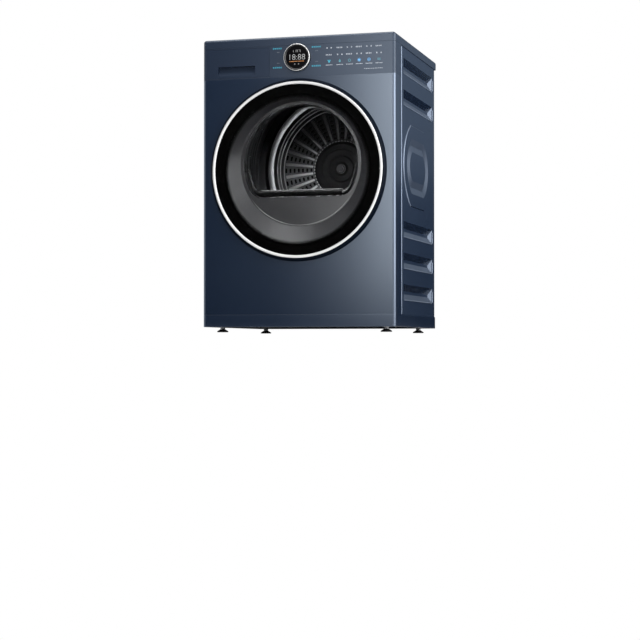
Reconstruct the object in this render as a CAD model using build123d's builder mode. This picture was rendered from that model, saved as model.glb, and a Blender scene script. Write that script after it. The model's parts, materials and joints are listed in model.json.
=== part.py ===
from build123d import *
from math import acos, atan2, cos, hypot, radians, sin, sqrt
import os

# A heat-pump tumble dryer, built as separate pieces that would come apart on a bench.
# Millimetres, +Z up. The front faces -Y. The origin is on the floor, under the middle of the
# overall box. A "depth" below is measured backwards from the front face of the cabinet, so a
# piece that stands proud of the front has a negative depth.

os.makedirs("parts", exist_ok=True)
backwards = (0, 1, 0)

# ---------------------------------------------------------------- driving sizes
width = 595.0
body_depth = 562.0          # front face to the back edge of the side panels
worktop_overhang = 17.0     # behind the body
worktop_height = 27.0
worktop_rim = 22.0
worktop_skin = 12.0
worktop_round = 8.0
fascia_height = 95.0
plinth_height = 36.5
pump_space = 248.0          # from the floor to the drum's lowest point
drum_top_gap = 33.0         # from the drum's highest point to the worktop
foot_show = 15.0            # how much of each foot shows under the plinth
corner_radius = 9.0         # vertical front edges
return_depth = 77.0         # the front pieces wrap round the sides this far
sheet = 1.0
moulding = 2.5
seam = 0.5                  # gap between neighbouring outer pieces
clearance = 0.3             # between pieces that move past each other
running_fit = 0.05          # radial, a shaft in its bore
fastener_fit = 0.1          # radial, a screw in its hole

# side panels
side_inset = 2.5            # the side panel lies this far inside the overall width
side_flange = 20.0
pressed_wall = 1.2          # what a pressed rib adds round its pocket on the inside
rib_depth = 11.0
rib_height = 48.0
rib_front_margin = 41.0     # from the front pieces' returns to the ribs
rib_back_margin = 36.0
rib_slope = 19.5            # how far the pocket's floor lies inside its rim
rib_pitch = 94.5
rib_top_drop = 56.0         # the highest rib below the worktop
rib_low_rise = 67.0         # the lowest rib above the plinth
boss_height = 2.2
boss_half_length = 190.0
boss_half_height = 124.0
boss_oval_height = 142.0    # the oval that the flat top and bottom are cut from
boss_back_margin = 256.0    # the boss's middle in front of the back edge
boss_drop = 28.0            # the boss's middle below the drum's axis
groove_inset = 40.0
groove_slope = 20.0
groove_depth = 5.0
panel_screw_margin = 45.0   # from the panel's ends to its first and last screw
panel_screw_count = 4
screw_radius = 2.0

# door
door_drop = 53.0            # the door's centre below the drum's axis
door_side_margin = 25.5     # from the door's edge to the cabinet's side
door_proud = 15.0
door_taper = 6.0
door_gap = 2.0              # shadow gap between the door and the front panel
trim_margin = 7.5
trim_width = 10.0
trim_thickness = 5.0
glass_thickness = 5.0
glass_bevel = 1.5
door_frame_width = 36.0
funnel_margin = 15.0        # flat ring between the frame's inner edge and the funnel
funnel_narrowing = 36.0
funnel_wall = 5.0
funnel_depth = 40.0
window_rise = 22.0          # the window's centre above the door's centre
window_margin = 7.0
window_floor_drop = 100.0   # the window's flat bottom below its own centre
window_corner = 45.0
window_depth = 34.0
window_wall = 3.0
window_round = 12.0
bezel_thickness = 3.0
opening_margin = 22.0       # how far the door covers the front panel's opening
hinge_margin = 5.0          # the hinge pin inside the door's edge
hinge_depth = -6.0
hinge_pin_radius = 1.6
knuckle_radius = 3.0
knuckle_half = 11.5
hinge_half = 24.0
hinge_leaf = 1.5
latch_margin = 15.0
latch_width = 6.0
latch_half_height = 7.0
latch_reach = 20.0          # how far the hook goes in behind the front face
hook_nose = 4.0
catch_half = 32.0
switch_rise = 21.0          # the door switch above the latch
switch_radius = 3.0

# bulkheads and mouth
front_plate_depth = 48.0
plate_thickness = 2.0
mouth_margin = 12.0         # the mouth and its flange inside and outside the door opening
mouth_narrowing = 33.0
mouth_rise = 14.0
mouth_wall = 3.0
seal_width = 6.0
rear_plate_margin = 26.0    # the rear bulkhead in front of the panels' back edges

# drum
drum_side_gap = 11.5        # from the drum to the cabinet's outer width
felt_space = 11.0           # between the front bulkhead and the drum
drum_back_gap = 20.0        # between the drum and the rear bulkhead
drum_lip_width = 24.0
felt_inset = 3.0
hub_radius = 90.0
shaft_radius = 12.0
slot_columns = 28
slot_rows = 7
slot_margin = 14.0          # between the hub cover and the first row of slots
slot_rim = 96.0             # from the last row of slots to the drum's skin
slot_width = 10.0
slot_height = 7.0
lifter_count = 3
lifter_height = 52.0
lifter_half_base = 38.0
lifter_half_tip = 9.0
lifter_end_gap = 40.0       # the lifters in front of and behind their ends
roller_radius = 30.0
roller_width = 20.0
roller_angle = 33.0         # from straight down, seen from the drum's axis
axle_radius = 6.0

# drive
motor_x = 60.0
motor_level = 128.0
motor_radius = 58.0
motor_length = 115.0
motor_fan_gap = 15.0        # between the motor and the fan
motor_shaft_radius = 6.0
pulley_radius = 13.0
belt_motor_gap = 40.0       # the belt's middle in front of the motor
belt_width = 10.0
belt_thickness = 2.2
idler_radius = 16.0
idler_share = 0.3           # how far up the free run of the belt the idler sits
arm_pivot_aside = 40.0      # the tension arm's pivot from the motor's axis
arm_pivot_drop = 23.0
arm_thickness = 3.0
pin_radius = 4.0
fan_radius = 75.0
fan_length = 34.0
fan_back_gap = 32.0         # between the fan and the rear bulkhead
fan_blades = 18
scroll_radius = 85.0

# base and heat pump
tray_inset = 11.0           # base tray inside the overall width
tray_front = 14.0
tray_back_margin = 14.0
tray_floor = 20.0
tray_wall = 3.0
tray_height = 38.0
foot_side = 42.0            # foot axis in from the side
foot_front_depth = 62.0
foot_back_margin = 62.0
foot_pad_radius = 17.0
stud_radius = 4.0
compressor_side_gap = 38.5  # between the compressor and the tray's side
compressor_depth = 195.0
grommet_half = 62.0
grommet_front = 50.0
grommet_back = 72.0
compressor_radius = 58.0
compressor_height = 150.0
channel_side_gap = 50.5     # between the air channel and the tray's side
channel_width = 170.0
channel_front = 70.0
channel_back_gap = 26.0
channel_height = 132.0
exchanger_height = 150.0
exchanger_length = 120.0
pipe_radius = 4.0

# controls and water tank
knob_x = 0.0
knob_rise = 57.0            # above the fascia's lower edge
knob_radius = 40.5
knob_proud = 14.0
knob_bore = 34.0
knob_skirt = 36.0
drawer_side_margin = 11.5
drawer_width = 197.0
drawer_margin = 4.0
drawer_rim = 22.0
grip_left_margin = 37.0
grip_right_margin = 44.0
grip_rise = 39.0            # the grip's upper lip above the fascia's lower edge
grip_height = 27.0
grip_lip = 4.0              # height of the scoop at its deepest
grip_depth = 15.0
tank_length = 418.0
tank_wall = 2.5
tank_drawer_gap = 8.5       # the tank inside the drawer front at both sides
tank_floor_width = 92.0
tank_drum_gap = 15.4        # at the edge of the tank's floor
tank_shoulder_gap = 10.3    # at the tank's right-hand wall
tank_top_gap = 7.0

# ---------------------------------------------------------------- levels and places
half_width = width / 2
worktop_depth = body_depth + worktop_overhang
front_y = (door_proud - worktop_depth) / 2
drum_radius = half_width - drum_side_gap
drum_level = pump_space + drum_radius
plinth_level = foot_show
front_level = plinth_level + plinth_height
top_level = drum_level + drum_radius + drum_top_gap
seam_level = top_level - fascia_height
door_level = drum_level - door_drop
window_level = door_level + window_rise
mouth_level = door_level + mouth_rise
knob_level = seam_level + knob_rise

door_radius = half_width - door_side_margin
door_front_radius = door_radius - door_taper
trim_outer = door_radius - trim_margin
trim_inner = trim_outer - trim_width
door_frame_inner = door_radius - door_frame_width
funnel_front_radius = door_frame_inner - funnel_margin
funnel_back_radius = funnel_front_radius - funnel_narrowing
window_radius = funnel_back_radius - window_margin
door_opening_radius = door_radius - opening_margin
mouth_front_radius = door_opening_radius - mouth_margin
mouth_flange_radius = door_opening_radius + mouth_margin
mouth_back_radius = mouth_front_radius - mouth_narrowing
seal_inner = mouth_front_radius + sheet
seal_outer = seal_inner + seal_width
hinge_x = hinge_margin - door_radius
latch_x = door_radius - latch_margin
switch_x = latch_x + 4
switch_level = door_level + switch_rise

side_x = half_width - side_inset
side_inner = side_x - sheet
panel_screw_x = side_x - side_flange / 2
screw_span = top_level - front_level - 2 * panel_screw_margin
panel_screw_levels = [front_level + panel_screw_margin + n * screw_span / (panel_screw_count - 1)
                      for n in range(panel_screw_count)]

tray_x = half_width - tray_inset
tray_top = tray_floor + tray_height
tray_back = body_depth - tray_back_margin
foot_back_depth = body_depth - foot_back_margin
rear_plate_depth = body_depth - rear_plate_margin
rear_plate_back = rear_plate_depth + sheet
drum_front_depth = front_plate_depth + plate_thickness + felt_space
drum_back_depth = rear_plate_depth - drum_back_gap
drum_lip = drum_radius - drum_lip_width
felt_outer = drum_radius - felt_inset
slot_inner = hub_radius + slot_margin
slot_outer = drum_radius - slot_rim
fan_front = rear_plate_depth - fan_back_gap - fan_length
motor_front = fan_front - motor_fan_gap - motor_length
belt_depth = motor_front - belt_motor_gap
channel_left = channel_side_gap - tray_x
channel_right = channel_left + channel_width
channel_back = rear_plate_depth - channel_back_gap
compressor_x = tray_x - compressor_side_gap - compressor_radius
drawer_left = drawer_side_margin - half_width
drawer_right = drawer_left + drawer_width
grip_left = drawer_left + grip_left_margin
grip_right = drawer_right - grip_right_margin
tank_left = drawer_left + tank_drawer_gap
tank_right = drawer_right - tank_drawer_gap
tank_knee_x = tank_left + tank_floor_width
tank_low = drum_level + sqrt((drum_radius + tank_drum_gap) ** 2 - tank_knee_x ** 2)
tank_knee_high = drum_level + sqrt((drum_radius + tank_shoulder_gap) ** 2 - tank_right ** 2)


# ---------------------------------------------------------------- helpers
def face_plane(depth, level=0.0, x=0.0):
    """A sketch plane that faces the front, at a depth behind the front face."""
    return Plane(origin=(x, front_y + depth, level), x_dir=(1, 0, 0), z_dir=(0, -1, 0))


def turning_plane(level, x=0.0):
    """A level plane through a front-to-back axis: sketch x is the radius, sketch y the depth."""
    return Plane(origin=(x, front_y, level), x_dir=(1, 0, 0), z_dir=(0, 0, 1))


def turning_axis(level, x=0.0):
    return Axis((x, front_y, level), backwards)


def block(x, depth, level, mode=Mode.ADD):
    """A box between two x values, two depths and two levels."""
    centre = ((x[0] + x[1]) / 2, front_y + (depth[0] + depth[1]) / 2, (level[0] + level[1]) / 2)
    with Locations(centre):
        Box(x[1] - x[0], depth[1] - depth[0], level[1] - level[0], mode=mode)


def barrel(x, level, depth, radius, mode=Mode.ADD):
    """A round bar along the depth."""
    with BuildSketch(face_plane(depth[0], level, x)) as end:
        Circle(radius)
    extrude(end.sketch, amount=depth[1] - depth[0], dir=backwards, mode=mode)


def post(x, depth, level, radius, mode=Mode.ADD):
    """An upright round bar."""
    with BuildSketch(Plane(origin=(x, front_y + depth, level[0]))) as end:
        Circle(radius)
    extrude(end.sketch, amount=level[1] - level[0], mode=mode)


def turned(points, level, x=0.0, mode=Mode.ADD):
    """Turns a closed outline of (radius, depth) points about a front-to-back axis."""
    with BuildSketch(turning_plane(level, x)) as profile:
        Polygon(*points, align=None)
    revolve(profile.sketch, axis=turning_axis(level, x), mode=mode)


def wrapped(low, high, wall):
    """A shell that covers the front and wraps round both sides."""
    for inset, mode in ((0.0, Mode.ADD), (wall, Mode.SUBTRACT)):
        deep = return_depth - inset
        with BuildSketch(Plane.XY.offset(low)) as outline:
            with Locations((0, front_y + inset + deep / 2)):
                Rectangle(width - 2 * inset, deep)
            fillet(vertices().group_by(Axis.Y)[0], corner_radius - inset)
        extrude(outline.sketch, amount=high - low, mode=mode)


def finish(piece, name):
    piece.part.label = name
    export_step(piece.part, f"parts/{name}.step")


# ---------------------------------------------------------------- base
feet = {
    "foot_front_left": (-half_width + foot_side, foot_front_depth),
    "foot_front_right": (half_width - foot_side, foot_front_depth),
    "foot_back_left": (-half_width + foot_side, foot_back_depth),
    "foot_back_right": (half_width - foot_side, foot_back_depth),
}
foot_boss_radius = 16.0
foot_boss_top = tray_floor + 30.0
spigot_side_margin = 97.5
spigot_x = spigot_side_margin - half_width
spigot_level = tray_floor + 16.0
spigot_radius = 9.0
spigot_end = body_depth + 16.0
grommet_spots = [(compressor_x - grommet_half, compressor_depth - grommet_front),
                 (compressor_x + grommet_half, compressor_depth - grommet_front),
                 (compressor_x, compressor_depth + grommet_back)]
peg_radius = 5.0
peg_top = tray_floor + 24.0

with BuildPart() as base_tray:
    block((-tray_x, tray_x), (tray_front, tray_back), (tray_floor, tray_top))
    block((-tray_x + tray_wall, tray_x - tray_wall), (tray_front + tray_wall, tray_back - tray_wall),
          (tray_floor + tray_wall, tray_top), Mode.SUBTRACT)
    # the walls of the air channel, which the duct cover stands on
    block((channel_left, channel_right), (channel_front, channel_back), (tray_floor, tray_top))
    block((channel_left + tray_wall, channel_right - tray_wall),
          (channel_front + tray_wall, channel_back - tray_wall), (tray_floor + tray_wall, tray_top),
          Mode.SUBTRACT)
    for x, depth in feet.values():
        post(x, depth, (tray_floor, foot_boss_top), foot_boss_radius)
        post(x, depth, (tray_floor - 1, foot_boss_top + 1), stud_radius + running_fit, Mode.SUBTRACT)
    for x, depth in grommet_spots:
        post(x, depth, (tray_floor, peg_top), peg_radius)
    # saddle under the motor
    block((motor_x - 40, motor_x + 40), (motor_front + 15, motor_front + 100),
          (tray_floor, tray_floor + 12))
    barrel(spigot_x, spigot_level, (tray_back - tray_wall, spigot_end), spigot_radius)
finish(base_tray, "base_tray")

plinth_ledge = 3.0
with BuildPart() as base_plinth:
    for inset, mode in ((0.0, Mode.ADD), (moulding, Mode.SUBTRACT)):
        height = plinth_height if inset == 0 else plinth_height - plinth_ledge
        with BuildSketch(Plane.XY.offset(plinth_level)):
            with Locations((0, front_y + body_depth / 2)):
                Rectangle(width - 2 * inset, body_depth - 2 * inset)
            fillet(vertices().group_by(Axis.Y)[0], corner_radius - inset)
        extrude(amount=height, mode=mode)
    block((-tray_x, tray_x), (tray_front, tray_back),
          (front_level - 2 * plinth_ledge, front_level + 1), Mode.SUBTRACT)
    barrel(spigot_x, spigot_level, (body_depth - 2 * moulding, body_depth + 1), spigot_radius + 1,
           Mode.SUBTRACT)
finish(base_plinth, "base_plinth")

foot_pad_height = 9.0
foot_nut_radius = 7.5
foot_nut_height = foot_show + 5.0 - foot_pad_height
for name, (x, depth) in feet.items():
    with BuildPart() as foot:
        with BuildSketch(Plane(origin=(x, front_y + depth, 0), x_dir=(1, 0, 0), z_dir=(0, -1, 0))):
            Polygon((0, 0), (foot_pad_radius, 0), (foot_pad_radius, 3), (foot_nut_radius, foot_pad_height),
                    (0, foot_pad_height), align=None)
        revolve(axis=Axis((x, front_y + depth, 0), (0, 0, 1)))
        with BuildSketch(Plane(origin=(x, front_y + depth, foot_pad_height))):
            RegularPolygon(foot_nut_radius, 6)
        extrude(amount=foot_nut_height - clearance)
        post(x, depth, (foot_pad_height, foot_boss_top + 12), stud_radius)
    finish(foot, name)

# ---------------------------------------------------------------- cabinet skin
with BuildPart() as front_panel:
    wrapped(front_level, seam_level, sheet)
    panel_flange = 13.0
    for low in (front_level, seam_level - sheet):
        block((-half_width + corner_radius, half_width - corner_radius), (sheet, panel_flange),
              (low, low + sheet))
    barrel(0, door_level, (-1, sheet + 1), door_opening_radius, Mode.SUBTRACT)
    latch_slot = (latch_x - latch_width / 2 - 1.5, latch_x + latch_width / 2 + hook_nose + 2.5)
    block(latch_slot, (-1, sheet + 1),
          (door_level - latch_half_height - 3, door_level + latch_half_height + 3), Mode.SUBTRACT)
    barrel(switch_x, switch_level, (-1, sheet + 1), switch_radius + clearance, Mode.SUBTRACT)
finish(front_panel, "front_panel")

board_left = knob_x - 70.0
board_right = half_width - 19.5
board_posts = [(x, knob_level + dz)
               for x in (board_left + 10, knob_x + 70, board_right - 13) for dz in (-22, 22)]
board_front = 10.0
with BuildPart() as control_fascia:
    wrapped(seam_level, top_level, moulding)
    block((drawer_left - seam, drawer_right + seam), (-1, moulding + 1),
          (seam_level + drawer_margin - seam, top_level - drawer_margin + seam), Mode.SUBTRACT)
    barrel(knob_x, knob_level, (-1, moulding + 1), knob_skirt + clearance, Mode.SUBTRACT)
    for x, level in board_posts:
        barrel(x, level, (moulding, board_front), 3.5)
finish(control_fascia, "control_fascia")

with BuildPart() as side_panel_right:
    side_front = return_depth + seam
    block((side_inner, side_x), (side_front, body_depth), (front_level, top_level))
    # hem behind the front pieces' returns
    block((side_inner, side_x), (return_depth - 15, side_front), (front_level + 5, top_level - 2))
    block((side_inner, half_width - sheet), (return_depth - 15, return_depth - 4),
          (front_level + 5, seam_level - 5))
    block((side_x - side_flange, side_x), (body_depth - sheet, body_depth), (front_level, top_level))
    block((side_x - side_flange, side_x), (return_depth + 10, body_depth), (top_level - sheet, top_level))
    block((tray_x, side_x), (return_depth + 10, tray_back), (front_level, front_level + sheet))
    for level in panel_screw_levels:
        barrel(panel_screw_x, level, (body_depth - 2, body_depth + 1), screw_radius + fastener_fit,
               Mode.SUBTRACT)
    rib_start = return_depth + rib_front_margin
    rib_end = body_depth - rib_back_margin
    rib_length = rib_end - rib_start
    rib_centre = (rib_start + rib_end) / 2 + front_y
    rib_levels = [top_level - rib_top_drop - n * rib_pitch for n in (0, 1)]
    rib_levels += [front_level + rib_low_rise + n * rib_pitch for n in (0, 1, 2)]
    for shift, grow, mode in ((0.9 * sheet, pressed_wall, Mode.ADD), (0.0, 0.0, Mode.SUBTRACT)):
        for level in rib_levels:
            for inward, slope in ((0.0, -grow), (rib_depth, rib_slope - grow)):
                side_plane = Plane(origin=(side_x - shift - inward, rib_centre, level),
                                   x_dir=(0, 1, 0), z_dir=(1, 0, 0))
                with BuildSketch(side_plane):
                    RectangleRounded(rib_length - 2 * slope, rib_height - 2 * slope, 3)
            loft(mode=mode)
    boss_plane = Plane(origin=(side_x, front_y + body_depth - boss_back_margin, drum_level - boss_drop),
                       x_dir=(0, 1, 0), z_dir=(1, 0, 0))

    def boss_outline(lift, inset):
        """The oval relief in the side panel, cut flat at its top and bottom."""
        with BuildSketch(boss_plane.offset(lift)) as outline:
            Ellipse(boss_half_length - inset, boss_oval_height - inset)
            Rectangle(2 * boss_half_length, 2 * (boss_half_height - inset), mode=Mode.INTERSECT)
        return outline.sketch

    groove_low = boss_height - groove_depth
    groove_middle = groove_inset + groove_slope
    ridge_low = groove_low - pressed_wall
    # the ridge that the groove makes on the inside, then the groove itself
    loft([boss_outline(-0.9 * sheet, groove_inset - 2), boss_outline(ridge_low, groove_middle - 1)])
    loft([boss_outline(ridge_low, groove_middle + 1),
          boss_outline(-sheet, groove_middle + groove_slope + 2)], mode=Mode.SUBTRACT)
    loft([boss_outline(0, 0), boss_outline(boss_height, boss_height)])
    loft([boss_outline(boss_height, groove_inset), boss_outline(groove_low, groove_middle)],
         mode=Mode.SUBTRACT)
    loft([boss_outline(groove_low, groove_middle), boss_outline(boss_height, groove_middle + groove_slope)])
finish(side_panel_right, "side_panel_right")

with BuildPart() as side_panel_left:
    mirror(side_panel_right.part, about=Plane.YZ)
finish(side_panel_left, "side_panel_left")

with BuildPart() as worktop:
    with BuildSketch(Plane.XY.offset(top_level)):
        with Locations((0, front_y + worktop_depth / 2)):
            Rectangle(width, worktop_depth)
        fillet(vertices().group_by(Axis.Y)[0], corner_radius)
        fillet(vertices().group_by(Axis.Y)[-1], 3)
    extrude(amount=worktop_height)
    fillet(faces().sort_by(Axis.Z)[-1].edges(), worktop_round)
    block((-half_width + worktop_rim, half_width - worktop_rim),
          (worktop_rim, body_depth - worktop_rim),
          (top_level - 1, top_level + worktop_height - worktop_skin), Mode.SUBTRACT)
finish(worktop, "worktop")

# ---------------------------------------------------------------- water tank and its drawer
tank_front = drawer_rim
tank_high = top_level - tank_top_gap
tank_section = ((tank_left, tank_low), (tank_knee_x, tank_low), (tank_right, tank_knee_high),
                (tank_right, tank_high), (tank_left, tank_high))
tank_port_radius = 14.0
tank_port_x = tank_knee_x - tank_port_radius - 1
tank_port_depth = tank_front + tank_length - 30


def tank_outline(depth, grow):
    """The tank's cross-section, made larger all round or smaller by one amount."""
    with BuildSketch(face_plane(depth)) as outline:
        Polygon(*tank_section, align=None)
        fillet(vertices(), 6)
        if grow:
            offset(amount=grow, mode=Mode.REPLACE)
    return outline.sketch


with BuildPart() as water_tank:
    extrude(tank_outline(tank_front, 0), amount=tank_length, dir=backwards)
    extrude(tank_outline(tank_front + tank_wall, -tank_wall), amount=tank_length - 2 * tank_wall,
            dir=backwards, mode=Mode.SUBTRACT)
    post(tank_port_x, tank_port_depth, (tank_high - 2 * tank_wall, tank_high + 1), tank_port_radius,
         Mode.SUBTRACT)
finish(water_tank, "water_tank")

guide_wall = 2.0
guide_front = front_plate_depth - 4
guide_rise = 40.0
tank_stop_depth = tank_front + tank_length + 10.0       # a thin wall behind the tank stops it
with BuildPart() as tank_guide:
    extrude(tank_outline(guide_front, clearance + guide_wall), amount=rear_plate_depth - guide_front,
            dir=backwards)
    extrude(tank_outline(guide_front - 1, clearance), amount=tank_stop_depth - guide_front + 1,
            dir=backwards, mode=Mode.SUBTRACT)
    extrude(tank_outline(tank_stop_depth + guide_wall, clearance),
            amount=rear_plate_depth - tank_stop_depth - 2 * guide_wall, dir=backwards, mode=Mode.SUBTRACT)
    block((tank_left - 10, tank_right + 10), (guide_front - 1, rear_plate_depth + 1),
          (tank_low + guide_rise, tank_high + 20), Mode.SUBTRACT)
finish(tank_guide, "tank_guide")

with BuildPart() as drawer_front:
    drawer_x = (drawer_left, drawer_right)
    drawer_levels = (seam_level + drawer_margin, top_level - drawer_margin)
    block(drawer_x, (0, drawer_rim), drawer_levels)
    fillet(edges().filter_by(Axis.Y), 1.5)
    block((drawer_left + 2, drawer_right - 2), (moulding, drawer_rim + 1),
          (drawer_levels[0] + 2, drawer_levels[1] - 2), Mode.SUBTRACT)
    grip_top = seam_level + grip_rise
    grip_low = grip_top - grip_height
    block((grip_left - 2, grip_right + 2), (moulding / 2, grip_depth + 2), (grip_low - 2, grip_top + 2))
    # a scoop that is deepest under its upper lip and runs out to the face below
    with BuildSketch(Plane.YZ.offset(grip_left)):
        Polygon((front_y - 1, grip_top), (front_y + grip_depth, grip_top),
                (front_y + grip_depth, grip_top - grip_lip), (front_y, grip_low), (front_y - 1, grip_low),
                align=None)
    extrude(amount=grip_right - grip_left, mode=Mode.SUBTRACT)
finish(drawer_front, "drawer_front")

# ---------------------------------------------------------------- controls
with BuildPart() as knob_ring:
    turned(((knob_bore, -knob_proud + 2), (knob_bore + 2, -knob_proud), (knob_radius - 2, -knob_proud),
            (knob_radius, -knob_proud + 2), (knob_radius, -clearance), (knob_skirt, -clearance),
            (knob_skirt, moulding + 5), (knob_bore, moulding + 5)), knob_level, knob_x)
finish(knob_ring, "knob_ring")

lens_radius = knob_bore - clearance
with BuildPart() as display_lens:
    turned(((0, -knob_proud + 2), (lens_radius, -knob_proud + 2.5), (lens_radius, board_front),
            (lens_radius - 3, board_front), (lens_radius - 3, -knob_proud + 5), (0, -knob_proud + 5)),
           knob_level, knob_x)
finish(display_lens, "display_lens")

with BuildPart() as control_board:
    block((board_left, board_right), (board_front, board_front + 2), (knob_level - 32, knob_level + 26))
    for place, across, tall in ((90, 30, 24), (180, 44, 30), (250, 26, 26), (305, 34, 38)):
        x = board_left + place
        block((x - across / 2, x + across / 2), (board_front + 2, board_front + 16),
              (knob_level - tall / 2 - 4, knob_level + tall / 2 - 4))
finish(control_board, "control_board")

# ---------------------------------------------------------------- front bulkhead and mouth
roller_centre_distance = drum_radius + clearance + roller_radius
roller_spots = [(side * roller_centre_distance * sin(radians(roller_angle)),
                 drum_level - roller_centre_distance * cos(radians(roller_angle)))
                for side in (-1, 1)]
filter_half = 105.0
filter_front = 12.0
filter_thickness = 22.0
filter_low = tray_top + 62.0
filter_pocket_top = door_level - mouth_front_radius - 3.0
filter_top = filter_pocket_top + 66.0
filter_wall = 2.0


def mouth_cone(wall, mode=Mode.ADD):
    """The funnel of the loading mouth, between its front and back circles."""
    with BuildSketch(face_plane(sheet, door_level)) as front:
        Circle(mouth_front_radius + wall)
    with BuildSketch(face_plane(front_plate_depth + plate_thickness, mouth_level)) as back:
        Circle(mouth_back_radius + wall)
    loft([front.sketch, back.sketch], mode=mode)


with BuildPart() as front_bulkhead:
    block((-side_inner + seam, side_inner - seam),
          (front_plate_depth, front_plate_depth + plate_thickness), (tray_top, top_level - sheet))
    turned(((mouth_front_radius, sheet), (mouth_flange_radius, sheet),
            (mouth_flange_radius, sheet + mouth_wall), (mouth_front_radius, sheet + mouth_wall)),
           door_level)
    mouth_cone(mouth_wall)
    # the well for the lint filter, under the mouth
    filter_back = filter_front + filter_thickness
    block((-filter_half - filter_wall - clearance, filter_half + filter_wall + clearance),
          (filter_front - filter_wall - clearance, filter_back + filter_wall + clearance),
          (filter_low - filter_wall, filter_top))
    mouth_cone(0, Mode.SUBTRACT)
    block((-filter_half - clearance, filter_half + clearance),
          (filter_front - clearance, filter_back + clearance), (filter_low, door_level), Mode.SUBTRACT)
    for side, half in ((-1, 62), (1, 34)):
        notch = sorted((side * (seal_outer + 1), side * (mouth_flange_radius + 30)))
        block(notch, (0, sheet + mouth_wall + 0.1), (door_level - half, door_level + half), Mode.SUBTRACT)
    extrude(tank_outline(front_plate_depth - 1, clearance + guide_wall), amount=plate_thickness + 2,
            dir=backwards, mode=Mode.SUBTRACT)
    for x, level in roller_spots:
        barrel(x, level, (front_plate_depth - 1, front_plate_depth + plate_thickness + 1), axle_radius,
               Mode.SUBTRACT)
finish(front_bulkhead, "front_bulkhead")

with BuildPart() as door_seal:
    turned(((seal_inner, sheet), (seal_outer, sheet), (seal_outer, -door_gap + 1),
            (seal_outer - 1.5, -door_gap + clearance), (seal_inner + 1.5, -door_gap + clearance),
            (seal_inner, -door_gap + 1)), door_level)
finish(door_seal, "door_seal")

with BuildPart() as lint_filter:
    block((-filter_half, filter_half), (filter_front, filter_back),
          (filter_low + clearance, filter_top))
    block((-filter_half + 4, filter_half - 4), (filter_front + 2, filter_back - 2),
          (filter_low + 6, filter_pocket_top + 1), Mode.SUBTRACT)
    with BuildSketch(face_plane(filter_front - 1, (filter_low + filter_pocket_top) / 2)):
        with GridLocations(66, 1, 3, 1):
            Rectangle(58, filter_pocket_top - filter_low - 24)
    extrude(amount=filter_thickness + 2, dir=backwards, mode=Mode.SUBTRACT)
    mouth_cone(0, Mode.SUBTRACT)
    block((-30, 30), (filter_front + 8, filter_back - 8), (filter_pocket_top - 6, filter_pocket_top + 26))
finish(lint_filter, "lint_filter")

# ---------------------------------------------------------------- door
glass_front = -door_proud + 1
glass_back = glass_front + glass_thickness
trim_back = -door_proud + trim_thickness
hinge_pocket = (-door_radius - 5, hinge_x + knuckle_radius + clearance)
leaf_front = -door_gap - 1.4
with BuildPart() as door_outer_frame:
    turned(((door_frame_inner, -door_gap), (door_radius, -door_gap), (door_front_radius, -door_proud + 1),
            (trim_outer, -door_proud + 1), (trim_outer, trim_back), (trim_inner, trim_back),
            (trim_inner, glass_back), (door_frame_inner, glass_back)), door_level)
    block(hinge_pocket, (-door_proud + 4, 1), (door_level - hinge_half - 1, door_level + hinge_half + 1),
          Mode.SUBTRACT)
    block((hinge_pocket[0], -door_frame_inner + 5), (leaf_front, 1),
          (door_level - hinge_half - 1, door_level + hinge_half + 1), Mode.SUBTRACT)
finish(door_outer_frame, "door_outer_frame")

with BuildPart() as door_trim_ring:
    turned(((trim_inner, trim_back), (trim_inner, -door_proud + 1.5), (trim_inner + 1.5, -door_proud),
            (trim_outer - 1.5, -door_proud), (trim_outer, -door_proud + 1.5), (trim_outer, trim_back)),
           door_level)
finish(door_trim_ring, "door_trim_ring")

with BuildPart() as door_glass:
    turned(((0, glass_front), (trim_inner - glass_bevel, glass_front),
            (trim_inner, glass_front + glass_bevel), (trim_inner, glass_back), (0, glass_back)), door_level)
finish(door_glass, "door_glass")


def funnel(wall, mode=Mode.ADD):
    """The door's inner funnel, from behind the glass back to the window."""
    with BuildSketch(face_plane(glass_back, door_level)) as front:
        Circle(funnel_front_radius + wall)
    with BuildSketch(face_plane(glass_back + funnel_depth, window_level)) as back:
        Circle(funnel_back_radius + wall)
    loft([front.sketch, back.sketch], mode=mode)


def window_outline(depth, grow):
    """The window: a circle with a flat bottom and round corners."""
    with BuildSketch(face_plane(depth, window_level)) as outline:
        Circle(window_radius)
        with Locations((0, -window_floor_drop - window_radius)):
            Rectangle(3 * window_radius, 2 * window_radius, mode=Mode.SUBTRACT)
        fillet(vertices(), window_corner)
        if grow:
            offset(amount=grow, mode=Mode.REPLACE)
    return outline.sketch


funnel_back = glass_back + funnel_depth
screw_circle = (funnel_front_radius + door_frame_inner) / 2 + 1
screw_shank = 1.8
with BuildPart() as door_inner_frame:
    turned(((funnel_front_radius - 8, glass_back), (door_frame_inner, glass_back),
            (door_frame_inner, -door_gap), (funnel_front_radius - 8, -door_gap)), door_level)
    funnel(funnel_wall)
    funnel(0, Mode.SUBTRACT)
    # the bezel across the funnel's back, with the opaque part below the window
    with BuildSketch(face_plane(funnel_back - bezel_thickness, window_level)):
        Circle(funnel_back_radius + funnel_wall / 2)
    extrude(amount=bezel_thickness, dir=backwards)
    extrude(window_outline(funnel_back - bezel_thickness - 1, 0), amount=bezel_thickness + 2,
            dir=backwards, mode=Mode.SUBTRACT)
    with BuildSketch(face_plane(-door_gap - 5, door_level)):
        with PolarLocations(screw_circle, 8, start_angle=22.5):
            Circle(screw_shank + fastener_fit)
    extrude(amount=8, dir=backwards, mode=Mode.SUBTRACT)
finish(door_inner_frame, "door_inner_frame")

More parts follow.
